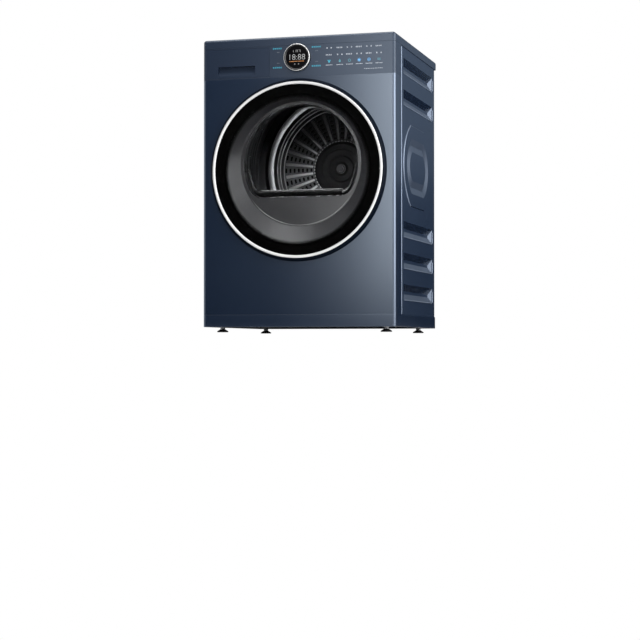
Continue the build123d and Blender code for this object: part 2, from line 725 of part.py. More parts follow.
with BuildPart() as door_window_bowl:
    extrude(window_outline(funnel_back, 0), amount=window_depth, dir=backwards)
    fillet(faces().sort_by(Axis.Y)[-1].edges(), window_round)
    offset(amount=-window_wall, openings=faces().sort_by(Axis.Y)[0])
    extrude(window_outline(funnel_back, 5), amount=window_wall, dir=backwards)
    extrude(window_outline(funnel_back - 1, -window_wall), amount=window_wall + 1, dir=backwards,
            mode=Mode.SUBTRACT)
finish(door_window_bowl, "door_window_bowl")

with BuildPart() as hinge_arm:
    post(hinge_x, hinge_depth, (door_level - knuckle_half, door_level + knuckle_half), knuckle_radius)
    block((hinge_x, -door_frame_inner - clearance), (leaf_front, leaf_front + hinge_leaf),
          (door_level - knuckle_half, door_level + knuckle_half))
    post(hinge_x, hinge_depth, (door_level - knuckle_half - 1, door_level + knuckle_half + 1),
         hinge_pin_radius + running_fit, Mode.SUBTRACT)
finish(hinge_arm, "hinge_arm")

bracket_edge = -seal_outer - 1.8
bracket_end = -door_opening_radius - 34
with BuildPart() as hinge_bracket:
    for side in (-1, 1):
        knuckle = sorted((door_level + side * (knuckle_half + clearance), door_level + side * hinge_half))
        post(hinge_x, hinge_depth, knuckle, knuckle_radius)
        # the arm reaches along the front and hooks round the edge of the door opening
        block((hinge_x, bracket_edge), (leaf_front, leaf_front + hinge_leaf), knuckle)
        block((bracket_edge - hinge_leaf, bracket_edge), (leaf_front, sheet + hinge_leaf), knuckle)
    block((bracket_end, bracket_edge), (sheet, sheet + hinge_leaf), (door_level - 60, door_level + 60))
    post(hinge_x, hinge_depth, (door_level - hinge_half, door_level + hinge_half), hinge_pin_radius)
finish(hinge_bracket, "hinge_bracket")

with BuildPart() as latch_hook:
    block((latch_x - latch_width / 2, latch_x + latch_width / 2), (-door_gap, latch_reach),
          (door_level - latch_half_height, door_level + latch_half_height))
    block((latch_x, latch_x + latch_width / 2 + hook_nose), (latch_reach - 6, latch_reach),
          (door_level - latch_half_height, door_level + latch_half_height))
    block((latch_x - 8, latch_x + 10), (-door_gap, -door_gap + 1.4),
          (door_level - 2 * latch_half_height, door_level + 2 * latch_half_height))
finish(latch_hook, "latch_hook")

with BuildPart() as door_screws:
    with BuildSketch(face_plane(-door_gap - 5, door_level)):
        with PolarLocations(screw_circle, 8, start_angle=22.5):
            Circle(screw_shank)
    extrude(amount=5, dir=backwards)
    with BuildSketch(face_plane(-door_gap, door_level)):
        with PolarLocations(screw_circle, 8, start_angle=22.5):
            Circle(2 * screw_shank)
    extrude(amount=1.8, dir=backwards)
finish(door_screws, "door_screws")

# ---------------------------------------------------------------- door catch and switch
catch_x = (latch_x - 10.5, latch_x + 22)
catch_back = latch_reach + 16
claw_pivot_x = latch_x + latch_width / 2 + hook_nose + 4.5
claw_pivot_depth = latch_reach + 8.0
claw_pin_radius = 1.5
with BuildPart() as latch_housing:
    block(catch_x, (sheet, catch_back), (door_level - catch_half, door_level + catch_half))
    block((catch_x[0] + 2, catch_x[1] - 2), (sheet - 1, catch_back - 2),
          (door_level - 10, door_level + 10), Mode.SUBTRACT)
    post(claw_pivot_x, claw_pivot_depth, (door_level - 11, door_level + 11), claw_pin_radius)
    barrel(switch_x, switch_level, (sheet - 1, catch_back + 1), switch_radius + clearance, Mode.SUBTRACT)
finish(latch_housing, "latch_housing")

with BuildPart() as latch_claw:
    post(claw_pivot_x, claw_pivot_depth, (door_level - 6, door_level + 6), 3)
    block((claw_pivot_x - 1.2, claw_pivot_x + 1.2), (latch_reach - 13, claw_pivot_depth),
          (door_level - 6, door_level + 6))
    post(claw_pivot_x, claw_pivot_depth, (door_level - 7, door_level + 7), claw_pin_radius + running_fit,
         Mode.SUBTRACT)
finish(latch_claw, "latch_claw")

with BuildPart() as switch_plunger:
    barrel(switch_x, switch_level, (-door_gap + clearance, catch_back - 8), switch_radius)
finish(switch_plunger, "switch_plunger")

# ---------------------------------------------------------------- drum
with BuildPart() as drum_shell:
    turned(((drum_lip, drum_front_depth), (drum_radius, drum_front_depth), (drum_radius, drum_back_depth),
            (drum_radius - sheet, drum_back_depth), (drum_radius - sheet, drum_front_depth + sheet),
            (drum_lip, drum_front_depth + sheet)), drum_level)
finish(drum_shell, "drum_shell")

wall_depth = drum_back_depth - 4
step_depth = 7.0
wall_steps = ((90, 0), (80, 1), (66, 1), (58, 2), (39, 2), (24, 0))     # in from the skin, steps forward
wall_front = [(shaft_radius, wall_depth)]
wall_front += [(drum_radius - inward, wall_depth - steps * step_depth) for inward, steps in wall_steps]
wall_front += [(drum_radius - sheet, wall_depth)]
with BuildPart() as drum_rear_wall:
    turned(wall_front + [(r, d + 1.5 * sheet) for r, d in reversed(wall_front)], drum_level)
    row_pitch = (slot_outer - slot_inner) / (slot_rows - 1)
    with BuildSketch(face_plane(wall_depth - 1, drum_level)):
        for row in range(slot_rows):
            with PolarLocations(slot_inner + row * row_pitch, slot_columns):
                Rectangle(slot_height, slot_width + row * 0.9)
    extrude(amount=4, dir=backwards, mode=Mode.SUBTRACT)
finish(drum_rear_wall, "drum_rear_wall")

shaft_flange = 40.0
shaft_end = rear_plate_depth + 20
hub_front = wall_depth - 14
with BuildPart() as drum_hub_cover:
    turned(((shaft_radius, hub_front + 3), (17, hub_front + 3), (24, hub_front), (40, hub_front + 1),
            (44, hub_front + 4), (hub_radius - 28, hub_front + 4), (hub_radius - 24, hub_front + 2),
            (hub_radius - 10, hub_front + 3), (hub_radius, hub_front + 9),
            (hub_radius, wall_depth), (shaft_radius, wall_depth)), drum_level)
finish(drum_hub_cover, "drum_hub_cover")

with BuildPart() as drum_shaft:
    barrel(0, drum_level, (hub_front + 3, shaft_end), shaft_radius)
    barrel(0, drum_level, (wall_depth + 1.5 * sheet, wall_depth + 1.5 * sheet + 4), shaft_flange)
    barrel(0, drum_level, (hub_front, hub_front + 3), 15)
    with BuildSketch(face_plane(hub_front - 6, drum_level)):
        RegularPolygon(10, 6)
    extrude(amount=6, dir=backwards)
finish(drum_shaft, "drum_shaft")

lifter_front = drum_front_depth + lifter_end_gap
lifter_length = drum_back_depth - drum_front_depth - 2 * lifter_end_gap - step_depth + 2
with BuildPart() as drum_lifters:
    for inset, mode in ((0.0, Mode.ADD), (moulding, Mode.SUBTRACT)):
        shoulder = drum_radius - 14
        tip = drum_radius - lifter_height + inset
        half_base = lifter_half_base - inset
        half_tip = lifter_half_tip - inset / 2
        with BuildSketch(face_plane(lifter_front + inset, drum_level)):
            for number in range(lifter_count):
                with PolarLocations(0, 1, start_angle=90 + number * 360 / lifter_count):
                    Polygon((drum_radius + 5, half_base), (shoulder, half_base), (tip, half_tip),
                            (tip, -half_tip), (shoulder, -half_base), (drum_radius + 5, -half_base),
                            align=None)
            Circle(drum_radius - sheet, mode=Mode.INTERSECT)
        extrude(amount=lifter_length - 2 * inset, dir=backwards, mode=mode)
    tip_reach = drum_radius - lifter_height + 1.5
    fillet([edge for edge in edges().filter_by(Axis.Y)
            if hypot(edge.center().X, edge.center().Z - drum_level) < tip_reach], 6)
finish(drum_lifters, "drum_lifters")

bearing_radius = 22.0
with BuildPart() as drum_bearing:
    bearing_bore = shaft_radius + running_fit
    turned(((bearing_bore, rear_plate_depth - 12), (bearing_radius + 10, rear_plate_depth - 12),
            (bearing_radius + 10, rear_plate_depth), (bearing_radius, rear_plate_depth),
            (bearing_radius, rear_plate_back + 10), (bearing_bore, rear_plate_back + 10)), drum_level)
finish(drum_bearing, "drum_bearing")

with BuildPart() as front_felt:
    felt_front = front_plate_depth + plate_thickness
    felt_back = drum_front_depth - clearance
    turned(((drum_lip, felt_front), (felt_outer, felt_front), (felt_outer, felt_back), (drum_lip, felt_back)),
           drum_level)
finish(front_felt, "front_felt")

with BuildPart() as rear_felt:
    turned(((drum_lip, drum_back_depth + clearance), (felt_outer, drum_back_depth + clearance),
            (felt_outer, rear_plate_depth), (drum_lip, rear_plate_depth)), drum_level)
finish(rear_felt, "rear_felt")

roller_front = drum_front_depth + 8
roller_back = roller_front + roller_width
for name, (x, level) in zip(("roller_left", "roller_right"), roller_spots):
    with BuildPart() as roller:
        barrel(x, level, (roller_front, roller_back), roller_radius)
        for edge_depth in (roller_front - 1, roller_back - 4):
            barrel(x, level, (edge_depth, edge_depth + 5), roller_radius - 6, Mode.SUBTRACT)
        barrel(x, level, (roller_front, roller_back), 2 * axle_radius)
        barrel(x, level, (roller_front - 1, roller_back + 1), axle_radius + running_fit, Mode.SUBTRACT)
    finish(roller, name)

with BuildPart() as roller_axles:
    for x, level in roller_spots:
        barrel(x, level, (front_plate_depth, roller_back + 4), axle_radius)
        barrel(x, level, (front_plate_depth + plate_thickness, roller_front - clearance), 1.8 * axle_radius)
        barrel(x, level, (front_plate_depth - 5, front_plate_depth), 1.6 * axle_radius)
finish(roller_axles, "roller_axles")

# ---------------------------------------------------------------- rear bulkhead
rear_air_slots = 12
duct_radius = slot_outer + 25.0
duct_half = 90.0
duct_low = tray_top + 22.0
duct_back = body_depth + 13.0
duct_flange = 10.0
duct_wall = 2.0
bracket_hole_x = half_width - 97.5
bracket_hole_level = top_level - 18.0
bracket_hole_radius = 2.6
with BuildPart() as rear_bulkhead:
    rear_levels = (tray_top, top_level - sheet)
    block((-side_inner, side_inner), (rear_plate_depth, body_depth - sheet), rear_levels)
    block((-side_inner + sheet, side_inner - sheet), (rear_plate_back, body_depth),
          (rear_levels[0] + sheet, rear_levels[1] - sheet), Mode.SUBTRACT)
    for side in (-1, 1):
        rim = sorted((side * (side_x - side_flange), side * side_inner))
        block(rim, (body_depth - 2 * sheet, body_depth - sheet), rear_levels)
        for level in panel_screw_levels:
            barrel(side * panel_screw_x, level, (body_depth - 3 * sheet, body_depth),
                   screw_radius + fastener_fit, Mode.SUBTRACT)
        barrel(side * bracket_hole_x, bracket_hole_level, (rear_plate_depth - 1, rear_plate_back + 1),
               bracket_hole_radius, Mode.SUBTRACT)
    barrel(0, drum_level, (rear_plate_depth - 1, rear_plate_back + 1), bearing_radius, Mode.SUBTRACT)
    with BuildSketch(face_plane(rear_plate_depth - 1, drum_level)):
        with PolarLocations((slot_inner + slot_outer) / 2, rear_air_slots):
            SlotOverall(slot_outer - slot_inner, 26)
    extrude(amount=sheet + 2, dir=backwards, mode=Mode.SUBTRACT)
    barrel(motor_x, motor_level, (rear_plate_depth - 1, rear_plate_back + 1), 40, Mode.SUBTRACT)
finish(rear_bulkhead, "rear_bulkhead")


def duct_outline(depth, inset):
    """The round back cover with the chute that comes up from the fan."""
    with BuildSketch(face_plane(depth)) as outline:
        with Locations((0, drum_level)):
            Circle(duct_radius - inset)
        with Locations((motor_x, (drum_level + duct_low) / 2)):
            RectangleRounded(2 * duct_half - 2 * inset, drum_level - duct_low - 2 * inset, 20)
    return outline.sketch


with BuildPart() as rear_duct_cover:
    extrude(duct_outline(rear_plate_back, 0), amount=duct_back - rear_plate_back, dir=backwards)
    fillet(faces().sort_by(Axis.Y)[-1].edges(), 5)
    extrude(duct_outline(rear_plate_back, -duct_flange), amount=duct_wall, dir=backwards)
    extrude(duct_outline(rear_plate_back - 1, duct_wall), amount=duct_back - rear_plate_back + 1 - duct_wall,
            dir=backwards, mode=Mode.SUBTRACT)
finish(rear_duct_cover, "rear_duct_cover")

with BuildPart() as panel_screws:
    for side in (-1, 1):
        for level in panel_screw_levels:
            barrel(side * panel_screw_x, level, (body_depth - 6, body_depth), screw_radius)
            barrel(side * panel_screw_x, level, (body_depth, body_depth + 2.4), 2.25 * screw_radius)
finish(panel_screws, "panel_screws")

inlet_x = 52.5 - half_width
inlet_level = top_level - 108.0
inlet_bore = 4.5
with BuildPart() as power_inlet:
    block((inlet_x - 22, inlet_x + 22), (rear_plate_back, rear_plate_back + 14),
          (inlet_level - 28, inlet_level + 28))
    fillet(edges().filter_by(Axis.Y), 5)
    barrel(inlet_x, inlet_level, (rear_plate_back + 14, rear_plate_back + 24), 9)
    barrel(inlet_x, inlet_level, (rear_plate_back + 4, rear_plate_back + 25), inlet_bore, Mode.SUBTRACT)
finish(power_inlet, "power_inlet")

# ---------------------------------------------------------------- drive
arm_pivot_x = motor_x + arm_pivot_aside
arm_pivot_level = motor_level - arm_pivot_drop
belt_centres = hypot(motor_x, motor_level - drum_level)
belt_heading = atan2(motor_level - drum_level, motor_x)
belt_inner_drum = drum_radius + clearance
belt_inner_pulley = pulley_radius + clearance
belt_spread = acos((belt_inner_drum - belt_inner_pulley) / belt_centres)
run_normal = belt_heading + belt_spread      # the free run's outward normal
normal_x, normal_z = cos(run_normal), sin(run_normal)
run_low = (motor_x + belt_inner_pulley * normal_x, motor_level + belt_inner_pulley * normal_z)
run_high = (belt_inner_drum * normal_x, drum_level + belt_inner_drum * normal_z)
idler_stand_off = belt_thickness + clearance + idler_radius
idler_x = run_low[0] + idler_share * (run_high[0] - run_low[0]) + idler_stand_off * normal_x
idler_level = run_low[1] + idler_share * (run_high[1] - run_low[1]) + idler_stand_off * normal_z
belt_front = belt_depth - belt_width / 2

with BuildPart() as drive_belt:
    for grow, mode in ((belt_thickness, Mode.ADD), (0.0, Mode.SUBTRACT)):
        with BuildSketch(face_plane(belt_front)):
            with BuildLine():
                CenterArc((0, drum_level), belt_inner_drum + grow, 0, 360)
                CenterArc((motor_x, motor_level), belt_inner_pulley + grow, 0, 360)
            make_hull()
        extrude(amount=belt_width, dir=backwards, mode=mode)
finish(drive_belt, "drive_belt")

motor_back = motor_front + motor_length
arm_back = belt_depth + belt_width / 2 + 6 + arm_thickness
with BuildPart() as motor:
    barrel(motor_x, motor_level, (motor_front, motor_back), motor_radius)
    fillet(edges().filter_by(GeomType.CIRCLE), 8)
    for depth in (motor_front + 15, motor_back - 27):
        block((motor_x - 40, motor_x + 40), (depth, depth + 12), (tray_floor + 12, motor_level - 30))
    barrel(arm_pivot_x, arm_pivot_level, (arm_back + clearance, motor_front + 10), 2 * pin_radius)
    barrel(arm_pivot_x, arm_pivot_level, (arm_back - arm_thickness - 2, arm_back + clearance), pin_radius)
    barrel(motor_x, motor_level, (motor_front - 1, motor_back + 1), motor_shaft_radius + running_fit,
           Mode.SUBTRACT)
finish(motor, "motor")

with BuildPart() as motor_rotor:
    barrel(motor_x, motor_level, (belt_front - 8, fan_front + fan_length - 4), motor_shaft_radius)
    barrel(motor_x, motor_level, (belt_front - 2, belt_front + belt_width + 2), pulley_radius)
    for depth in (belt_front - 4, belt_front + belt_width + 2):
        barrel(motor_x, motor_level, (depth, depth + 2), pulley_radius + 4)
finish(motor_rotor, "motor_rotor")

fan_back = fan_front + fan_length
with BuildPart() as fan_impeller:
    barrel(motor_x, motor_level, (fan_back - 3, fan_back), fan_radius)
    barrel(motor_x, motor_level, (fan_front, fan_front + 3), fan_radius)
    barrel(motor_x, motor_level, (fan_front - 1, fan_front + 4), fan_radius - 14, Mode.SUBTRACT)
    with BuildSketch(face_plane(fan_front, motor_level, motor_x)):
        with PolarLocations(fan_radius - 7, fan_blades):
            Rectangle(12, 2, rotation=25)
    extrude(amount=fan_length, dir=backwards)
    barrel(motor_x, motor_level, (fan_back - 22, fan_back), 2 * motor_shaft_radius)
    barrel(motor_x, motor_level, (fan_front - 1, fan_back - 4), motor_shaft_radius, Mode.SUBTRACT)
finish(fan_impeller, "fan_impeller")

with BuildPart() as tension_arm:
    with BuildSketch(face_plane(arm_back - arm_thickness)):
        with BuildLine():
            CenterArc((arm_pivot_x, arm_pivot_level), 2.4 * pin_radius, 0, 360)
            CenterArc((idler_x, idler_level), 1.8 * pin_radius, 0, 360)
        make_hull()
    extrude(amount=arm_thickness, dir=backwards)
    barrel(arm_pivot_x, arm_pivot_level, (arm_back - arm_thickness - 1, arm_back + 1),
           pin_radius + running_fit, Mode.SUBTRACT)
    barrel(idler_x, idler_level, (belt_front - 5, arm_back), pin_radius)
finish(tension_arm, "tension_arm")

with BuildPart() as idler_pulley:
    barrel(idler_x, idler_level, (belt_front - 2, belt_front + belt_width + 2), idler_radius)
    barrel(idler_x, idler_level, (belt_front - 3, belt_front + belt_width + 3), pin_radius + running_fit,
           Mode.SUBTRACT)
finish(idler_pulley, "idler_pulley")

spring_wire = 0.8
spring_pitch = 2.6
spring_turns = 6
spring_radius = 2 * pin_radius + spring_wire + clearance
with BuildPart() as tension_spring:
    with BuildLine() as coil:
        Helix(spring_pitch, spring_turns * spring_pitch, spring_radius,
              center=(arm_pivot_x, front_y + arm_back + 2, arm_pivot_level), direction=backwards)
    with BuildSketch(Plane(origin=coil.line @ 0, z_dir=coil.line % 0)):
        Circle(spring_wire)
    sweep(is_frenet=True)
finish(tension_spring, "tension_spring")

# ---------------------------------------------------------------- heat pump and air path
cover_wall = 2.5
channel_top = tray_top + channel_height
scroll_front = fan_front - 8
scroll_back = rear_plate_depth
with BuildPart() as process_duct_cover:
    block((channel_left, channel_right), (channel_front, channel_back), (tray_top, channel_top))
    block((channel_right - 5, motor_x), (scroll_front, scroll_front + 48), (tray_top, channel_top - 30))
    barrel(motor_x, motor_level, (scroll_front, scroll_back), scroll_radius)
    block((channel_left + cover_wall, channel_right - cover_wall),
          (channel_front + cover_wall, channel_back - cover_wall),
          (tray_top - 1, channel_top - cover_wall), Mode.SUBTRACT)
    block((channel_right - 8, motor_x), (scroll_front + cover_wall, scroll_front + 48 - cover_wall),
          (tray_top - 1, channel_top - 30 - cover_wall), Mode.SUBTRACT)
    barrel(motor_x, motor_level, (scroll_front + cover_wall, scroll_back + 1), scroll_radius - cover_wall,
           Mode.SUBTRACT)
    barrel(motor_x, motor_level, (scroll_front - 1, scroll_front + cover_wall + 1), 45, Mode.SUBTRACT)
    # air comes down into the channel from the lint filter
    block((channel_left + 20, channel_right - 20), (channel_front - 1, channel_front + cover_wall + 1),
          (tray_top + 10, channel_top - 20), Mode.SUBTRACT)
finish(process_duct_cover, "process_duct_cover")

exchanger_low = tray_floor + tray_wall
fin_count = 14
with BuildPart() as heat_exchangers:
    for front in (channel_front + 30, channel_front + 175):
        back = front + exchanger_length
        block((channel_left + 8, channel_right - 8), (front, back),
              (exchanger_low, exchanger_low + exchanger_height))
        fin_pitch = (channel_right - channel_left - 40) / fin_count
        for fin in range(fin_count):
            left = channel_left + 20 + fin * fin_pitch
            block((left, left + fin_pitch - 3), (front - 1, back + 1),
                  (exchanger_low + 6, exchanger_low + exchanger_height - 6), Mode.SUBTRACT)
finish(heat_exchangers, "heat_exchangers")

grommet_height = 10.0
plate_low = peg_top - 4
with BuildPart() as compressor:
    post(compressor_x, compressor_depth, (plate_low, plate_low + 3), 30)
    with BuildSketch(Plane.XY.offset(plate_low)):
        with BuildLine():
            for x, depth in grommet_spots:
                CenterArc((x, front_y + depth), 14, 0, 360)
        make_hull()
    extrude(amount=3)
    post(compressor_x, compressor_depth, (plate_low + 3, plate_low + 3 + compressor_height),
         compressor_radius)
    fillet(faces().sort_by(Axis.Z)[-1].edges(), 22)
    for x, depth in grommet_spots:
        post(x, depth, (plate_low - 1, plate_low + 4), peg_radius + 2.5, Mode.SUBTRACT)
finish(compressor, "compressor")

with BuildPart() as compressor_grommets:
    for x, depth in grommet_spots:
        post(x, depth, (tray_floor + tray_wall, plate_low), 11)
        post(x, depth, (plate_low, plate_low + 3), peg_radius + 2.5)
        post(x, depth, (plate_low + 3, plate_low + 6), 11)
        post(x, depth, (tray_floor, peg_top), peg_radius, Mode.SUBTRACT)
finish(compressor_grommets, "compressor_grommets")

pipe_level = exchanger_low + 60
compressor_top = plate_low + 3 + compressor_height
with BuildPart() as refrigerant_pipes:
    for side, depth, height in ((-1, compressor_depth, 22), (1, compressor_depth + 72, 34)):
        start_x = compressor_x + side * 14
        pipe_y = front_y + compressor_depth
        high = compressor_top + height
        route = [(start_x, pipe_y, compressor_top), (start_x, pipe_y, high)]
        if depth != compressor_depth:
            route.append((start_x, front_y + depth, high))
        route += [(channel_right + 26, front_y + depth, high),
                  (channel_right + 26, front_y + depth, pipe_level),
                  (channel_right, front_y + depth, pipe_level)]
        with BuildLine() as run:
            FilletPolyline(*route, radius=11)
        with BuildSketch(Plane(origin=run.line @ 0, z_dir=run.line % 0)):
            Circle(pipe_radius)
        sweep()
finish(refrigerant_pipes, "refrigerant_pipes")

pump_right = tray_x - 24.5
pump_back = rear_plate_depth - 58.0
pump_top = tray_top + 38.0
with BuildPart() as condensate_pump:
    block((pump_right - 62, pump_right), (pump_back - 48, pump_back), (tray_floor + tray_wall, pump_top))
    fillet(edges().filter_by(Axis.Z), 6)
    post(pump_right - 31, pump_back - 24, (pump_top, pump_top + 30), 20)
    post(pump_right - 50, pump_back - 36, (pump_top, pump_top + 16), 5)
finish(condensate_pump, "condensate_pump")
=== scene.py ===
import json
import math

import bpy
from mathutils import Matrix, Vector

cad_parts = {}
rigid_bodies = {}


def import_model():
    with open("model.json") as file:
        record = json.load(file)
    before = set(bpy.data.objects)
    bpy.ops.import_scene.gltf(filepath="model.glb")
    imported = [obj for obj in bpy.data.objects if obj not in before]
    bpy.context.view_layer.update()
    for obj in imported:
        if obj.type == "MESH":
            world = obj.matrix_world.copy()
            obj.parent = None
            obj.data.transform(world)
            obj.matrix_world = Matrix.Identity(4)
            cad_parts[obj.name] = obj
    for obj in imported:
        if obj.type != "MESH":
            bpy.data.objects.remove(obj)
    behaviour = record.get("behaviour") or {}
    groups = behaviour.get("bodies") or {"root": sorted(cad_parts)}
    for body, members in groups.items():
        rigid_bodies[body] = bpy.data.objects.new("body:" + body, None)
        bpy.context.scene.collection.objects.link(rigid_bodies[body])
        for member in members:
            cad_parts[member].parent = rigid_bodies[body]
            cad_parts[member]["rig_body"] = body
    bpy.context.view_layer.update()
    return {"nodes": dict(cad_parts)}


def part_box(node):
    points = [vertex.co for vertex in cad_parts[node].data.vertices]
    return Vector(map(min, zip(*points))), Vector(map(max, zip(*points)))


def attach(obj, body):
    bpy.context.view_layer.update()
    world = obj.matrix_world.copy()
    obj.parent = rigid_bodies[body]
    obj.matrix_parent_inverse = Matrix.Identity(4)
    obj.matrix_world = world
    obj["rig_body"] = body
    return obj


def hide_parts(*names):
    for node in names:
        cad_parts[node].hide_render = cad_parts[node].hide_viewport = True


bl_info = {
    "name": "Tumble dryer",
    "version": (1, 0, 0),
    "blender": (4, 5, 0),
    "location": "View3D > Sidebar > Dryer",
    "description": "Dresses the tumble dryer frame with its finishes, door, controls and studio",
    "category": "Object",
}

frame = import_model()
nodes = frame["nodes"]

upright = math.pi / 2       # stands a flat primitive up, so that it faces the front
weld = 0.000005             # points nearer to each other than this are merged
print_gap = 0.0001          # how far a print stands off the face that carries it
print_thickness = 0.00012


# ---------- settings
def colour_setting(name, description, default):
    return bpy.props.FloatVectorProperty(name=name, description=description, default=default,
                                         subtype="COLOR", size=3, min=0, max=1)


def length_setting(name, description, default, least=0):
    return bpy.props.FloatProperty(name=name, description=description, default=default, min=least,
                                   unit="LENGTH")


def power_setting(name, description, default):
    return bpy.props.FloatProperty(name=name, description=description, default=default, min=0,
                                   unit="POWER")


class CabinetSettings(bpy.types.PropertyGroup):
    paint: colour_setting("Cabinet paint", "Colour of the metallic paint on the cabinet",
                          (0.003, 0.009, 0.024))
    fascia_paint: colour_setting("Fascia paint", "Colour of the control fascia and the worktop's edge",
                                 (0.005, 0.011, 0.026))
    side_paint: colour_setting("Side paint", "Colour of the side panels", (0.010, 0.018, 0.036))
    # The pale tone of the painted highlight along folded edges; the lips' and the ends' painted
    # highlights are shades of it.
    fold_light: colour_setting("Fold light", "Colour of the metal flakes along a folded edge",
                               (0.125, 0.150, 0.195))
    paint_roughness: bpy.props.FloatProperty(
        name="Paint roughness", description="How blurred the paint's reflections are",
        min=0, max=1, default=0.32, subtype="FACTOR")
    edge_round: length_setting("Edge rounding", "Radius of the folded sheet's outer edges", 0.0016)


class DoorSettings(bpy.types.PropertyGroup):
    border_width: length_setting("Black border", "Width of the black print round the door's glass",
                                 0.0265, 0.01)
    border_fade: length_setting("Border fade", "Width over which the black print thins out", 0.016, 0.001)
    plastic: colour_setting("Funnel colour", "Colour of the plastic funnel behind the glass",
                            (0.012, 0.012, 0.013))


class DrumSettings(bpy.types.PropertyGroup):
    spoke_count: bpy.props.IntProperty(
        name="Spokes", description="Pressed ribs between the columns of air slots", default=28, min=8)
    spoke_height: length_setting("Spoke height", "How far each pressed rib stands forward", 0.004)


class ControlSettings(bpy.types.PropertyGroup):
    display_text: bpy.props.StringProperty(
        name="Display", description="Digits on the round display", default="18:88")
    mark_colour: colour_setting("Key marks", "Colour of the lit key marks", (0.03, 0.29, 0.40))


class StudioSettings(bpy.types.PropertyGroup):
    key_power: power_setting("Key light", "Power of the tall soft light in front", 12.2)
    top_power: power_setting("Top light", "Power of the soft light overhead", 22.0)
    fill_power: power_setting("Side light", "Power of the dim light behind the right-hand side", 1.35)
    edge_power: power_setting("Edge light", "Power of the broad light that lines the right-hand edge",
                              46.0)
    drum_power: power_setting("Drum light", "Power of the lamp inside the drum", 0.42)


settings_classes = (CabinetSettings, DoorSettings, DrumSettings, ControlSettings, StudioSettings)
settings_names = ("dryer_cabinet", "dryer_door", "dryer_drum", "dryer_controls", "dryer_studio")


# ---------- shader nodes
mix_sockets = {"FLOAT": (2, 3, 0), "RGBA": (6, 7, 2)}   # first value, second value and result


def add_node(tree, kind, inputs=None, **settings):
    """Adds a node. Each of its inputs takes a plain value, or is joined to another node's output."""
    node = tree.nodes.new(kind)
    for name, value in settings.items():
        setattr(node, name, value)
    for place, value in (inputs or {}).items():
        if isinstance(value, bpy.types.NodeSocket):
            tree.links.new(value, node.inputs[place])
        else:
            node.inputs[place].default_value = value
    return node


def calculate(tree, operation, *values):
    """One sum with a Math node."""
    return add_node(tree, "ShaderNodeMath", dict(enumerate(values)), operation=operation).outputs[0]


def mixed(tree, mask, first, second, kind="RGBA", blend="MIX"):
    """Goes from the first value to the second as the mask rises."""
    a, b, result = mix_sockets[kind]
    return add_node(tree, "ShaderNodeMix", {0: mask, a: first, b: second},
                    data_type=kind, blend_type=blend).outputs[result]


def ramp(tree, value, start, end, low=0.0, high=1.0):
    """Goes from low to high while a value goes from start to end."""
    inputs = {"Value": value, "From Min": start, "From Max": end, "To Min": low, "To Max": high}
    return add_node(tree, "ShaderNodeMapRange", inputs).outputs["Result"]


def component(tree, space, axis):
    """One axis of the surface's place or of its normal."""
    vector = add_node(tree, "ShaderNodeTexCoord").outputs[space]
    return add_node(tree, "ShaderNodeSeparateXYZ", {0: vector}).outputs[axis]


def shader_of(material):
    return material.node_tree.nodes["Principled BSDF"]


def feed(material, socket, output):
    """Joins a node's output to one of the shader's sockets."""
    material.node_tree.links.new(output, shader_of(material).inputs[socket])


def overlay(material, socket, mask, value, kind="RGBA", blend="MIX"):
    """Where the mask is up, what already feeds one of the shader's sockets gives way to a value."""
    under = shader_of(material).inputs[socket].links[0].from_socket
    feed(material, socket, mixed(material.node_tree, mask, under, value, kind, blend))


def clear_where(material, kind, output):
    """The surface isn't there for what a node picks out."""
    tree = material.node_tree
    mix = add_node(tree, "ShaderNodeMixShader", {
        0: add_node(tree, kind).outputs[output], 1: shader_of(material).outputs[0],
        2: add_node(tree, "ShaderNodeBsdfTransparent").outputs[0]})
    tree.links.new(mix.outputs[0], tree.nodes["Material Output"].inputs["Surface"])
    return material


def start_group(name, inputs, outputs):
    """A shader group with its named sockets. An input without a default is a vector."""
    group = bpy.data.node_groups.new(name, "ShaderNodeTree")
    for title, default in inputs.items():
        kind = "NodeSocketVector" if default is None else "NodeSocketFloat"
        socket = group.interface.new_socket(title, in_out="INPUT", socket_type=kind)
        if default is not None:
            socket.default_value = default
    for title in outputs:
        group.interface.new_socket(title, in_out="OUTPUT", socket_type="NodeSocketFloat")
    return group, add_node(group, "NodeGroupInput").outputs, add_node(group, "NodeGroupOutput").inputs


def grain_group():
    """Fine grain and slow cloudiness that several finishes share."""
    if "surface_grain" in bpy.data.node_groups:
        return bpy.data.node_groups["surface_grain"]
    group, given, result = start_group(
        "surface_grain", {"Vector": None, "Grain Size": 900.0, "Cloud Size": 3.0, "Grain Share": 0.5},
        ("Grain", "Cloud", "Mask"))
    noises = [add_node(group, "ShaderNodeTexNoise", {"Vector": given["Vector"], "Scale": given[size]})
              for size in ("Grain Size", "Cloud Size")]
    grain, cloud = (noise.outputs[0] for noise in noises)
    mask = mixed(group, given["Grain Share"], cloud, grain, "FLOAT")
    for name, value in (("Grain", grain), ("Cloud", cloud), ("Mask", mask)):
        group.links.new(value, result[name])
    return group


def fold_group():
    """How far a face is turned between a panel's flat and its edge: 0 on both, 1 halfway round. It masks
    the painted highlight along a fold.
    """
    if "fold_light" in bpy.data.node_groups:
        return bpy.data.node_groups["fold_light"]
    group, given, result = start_group("fold_light", {"Facing": 1.0, "Strength": 1.0}, ("Mask",))
    square = calculate(group, "POWER", calculate(group, "ABSOLUTE", given["Facing"]), 2.0)
    rest = calculate(group, "MAXIMUM", calculate(group, "SUBTRACT", 1.0, square), 0.0)
    root = calculate(group, "SQRT", calculate(group, "MULTIPLY", square, rest))
    mask = calculate(group, "MULTIPLY", root, 2.0)
    group.links.new(calculate(group, "MULTIPLY", mask, given["Strength"]), result["Mask"])
    return group


# ---------- materials
def shade(colour, factor):
    return tuple(min(1.0, channel * factor) for channel in colour)


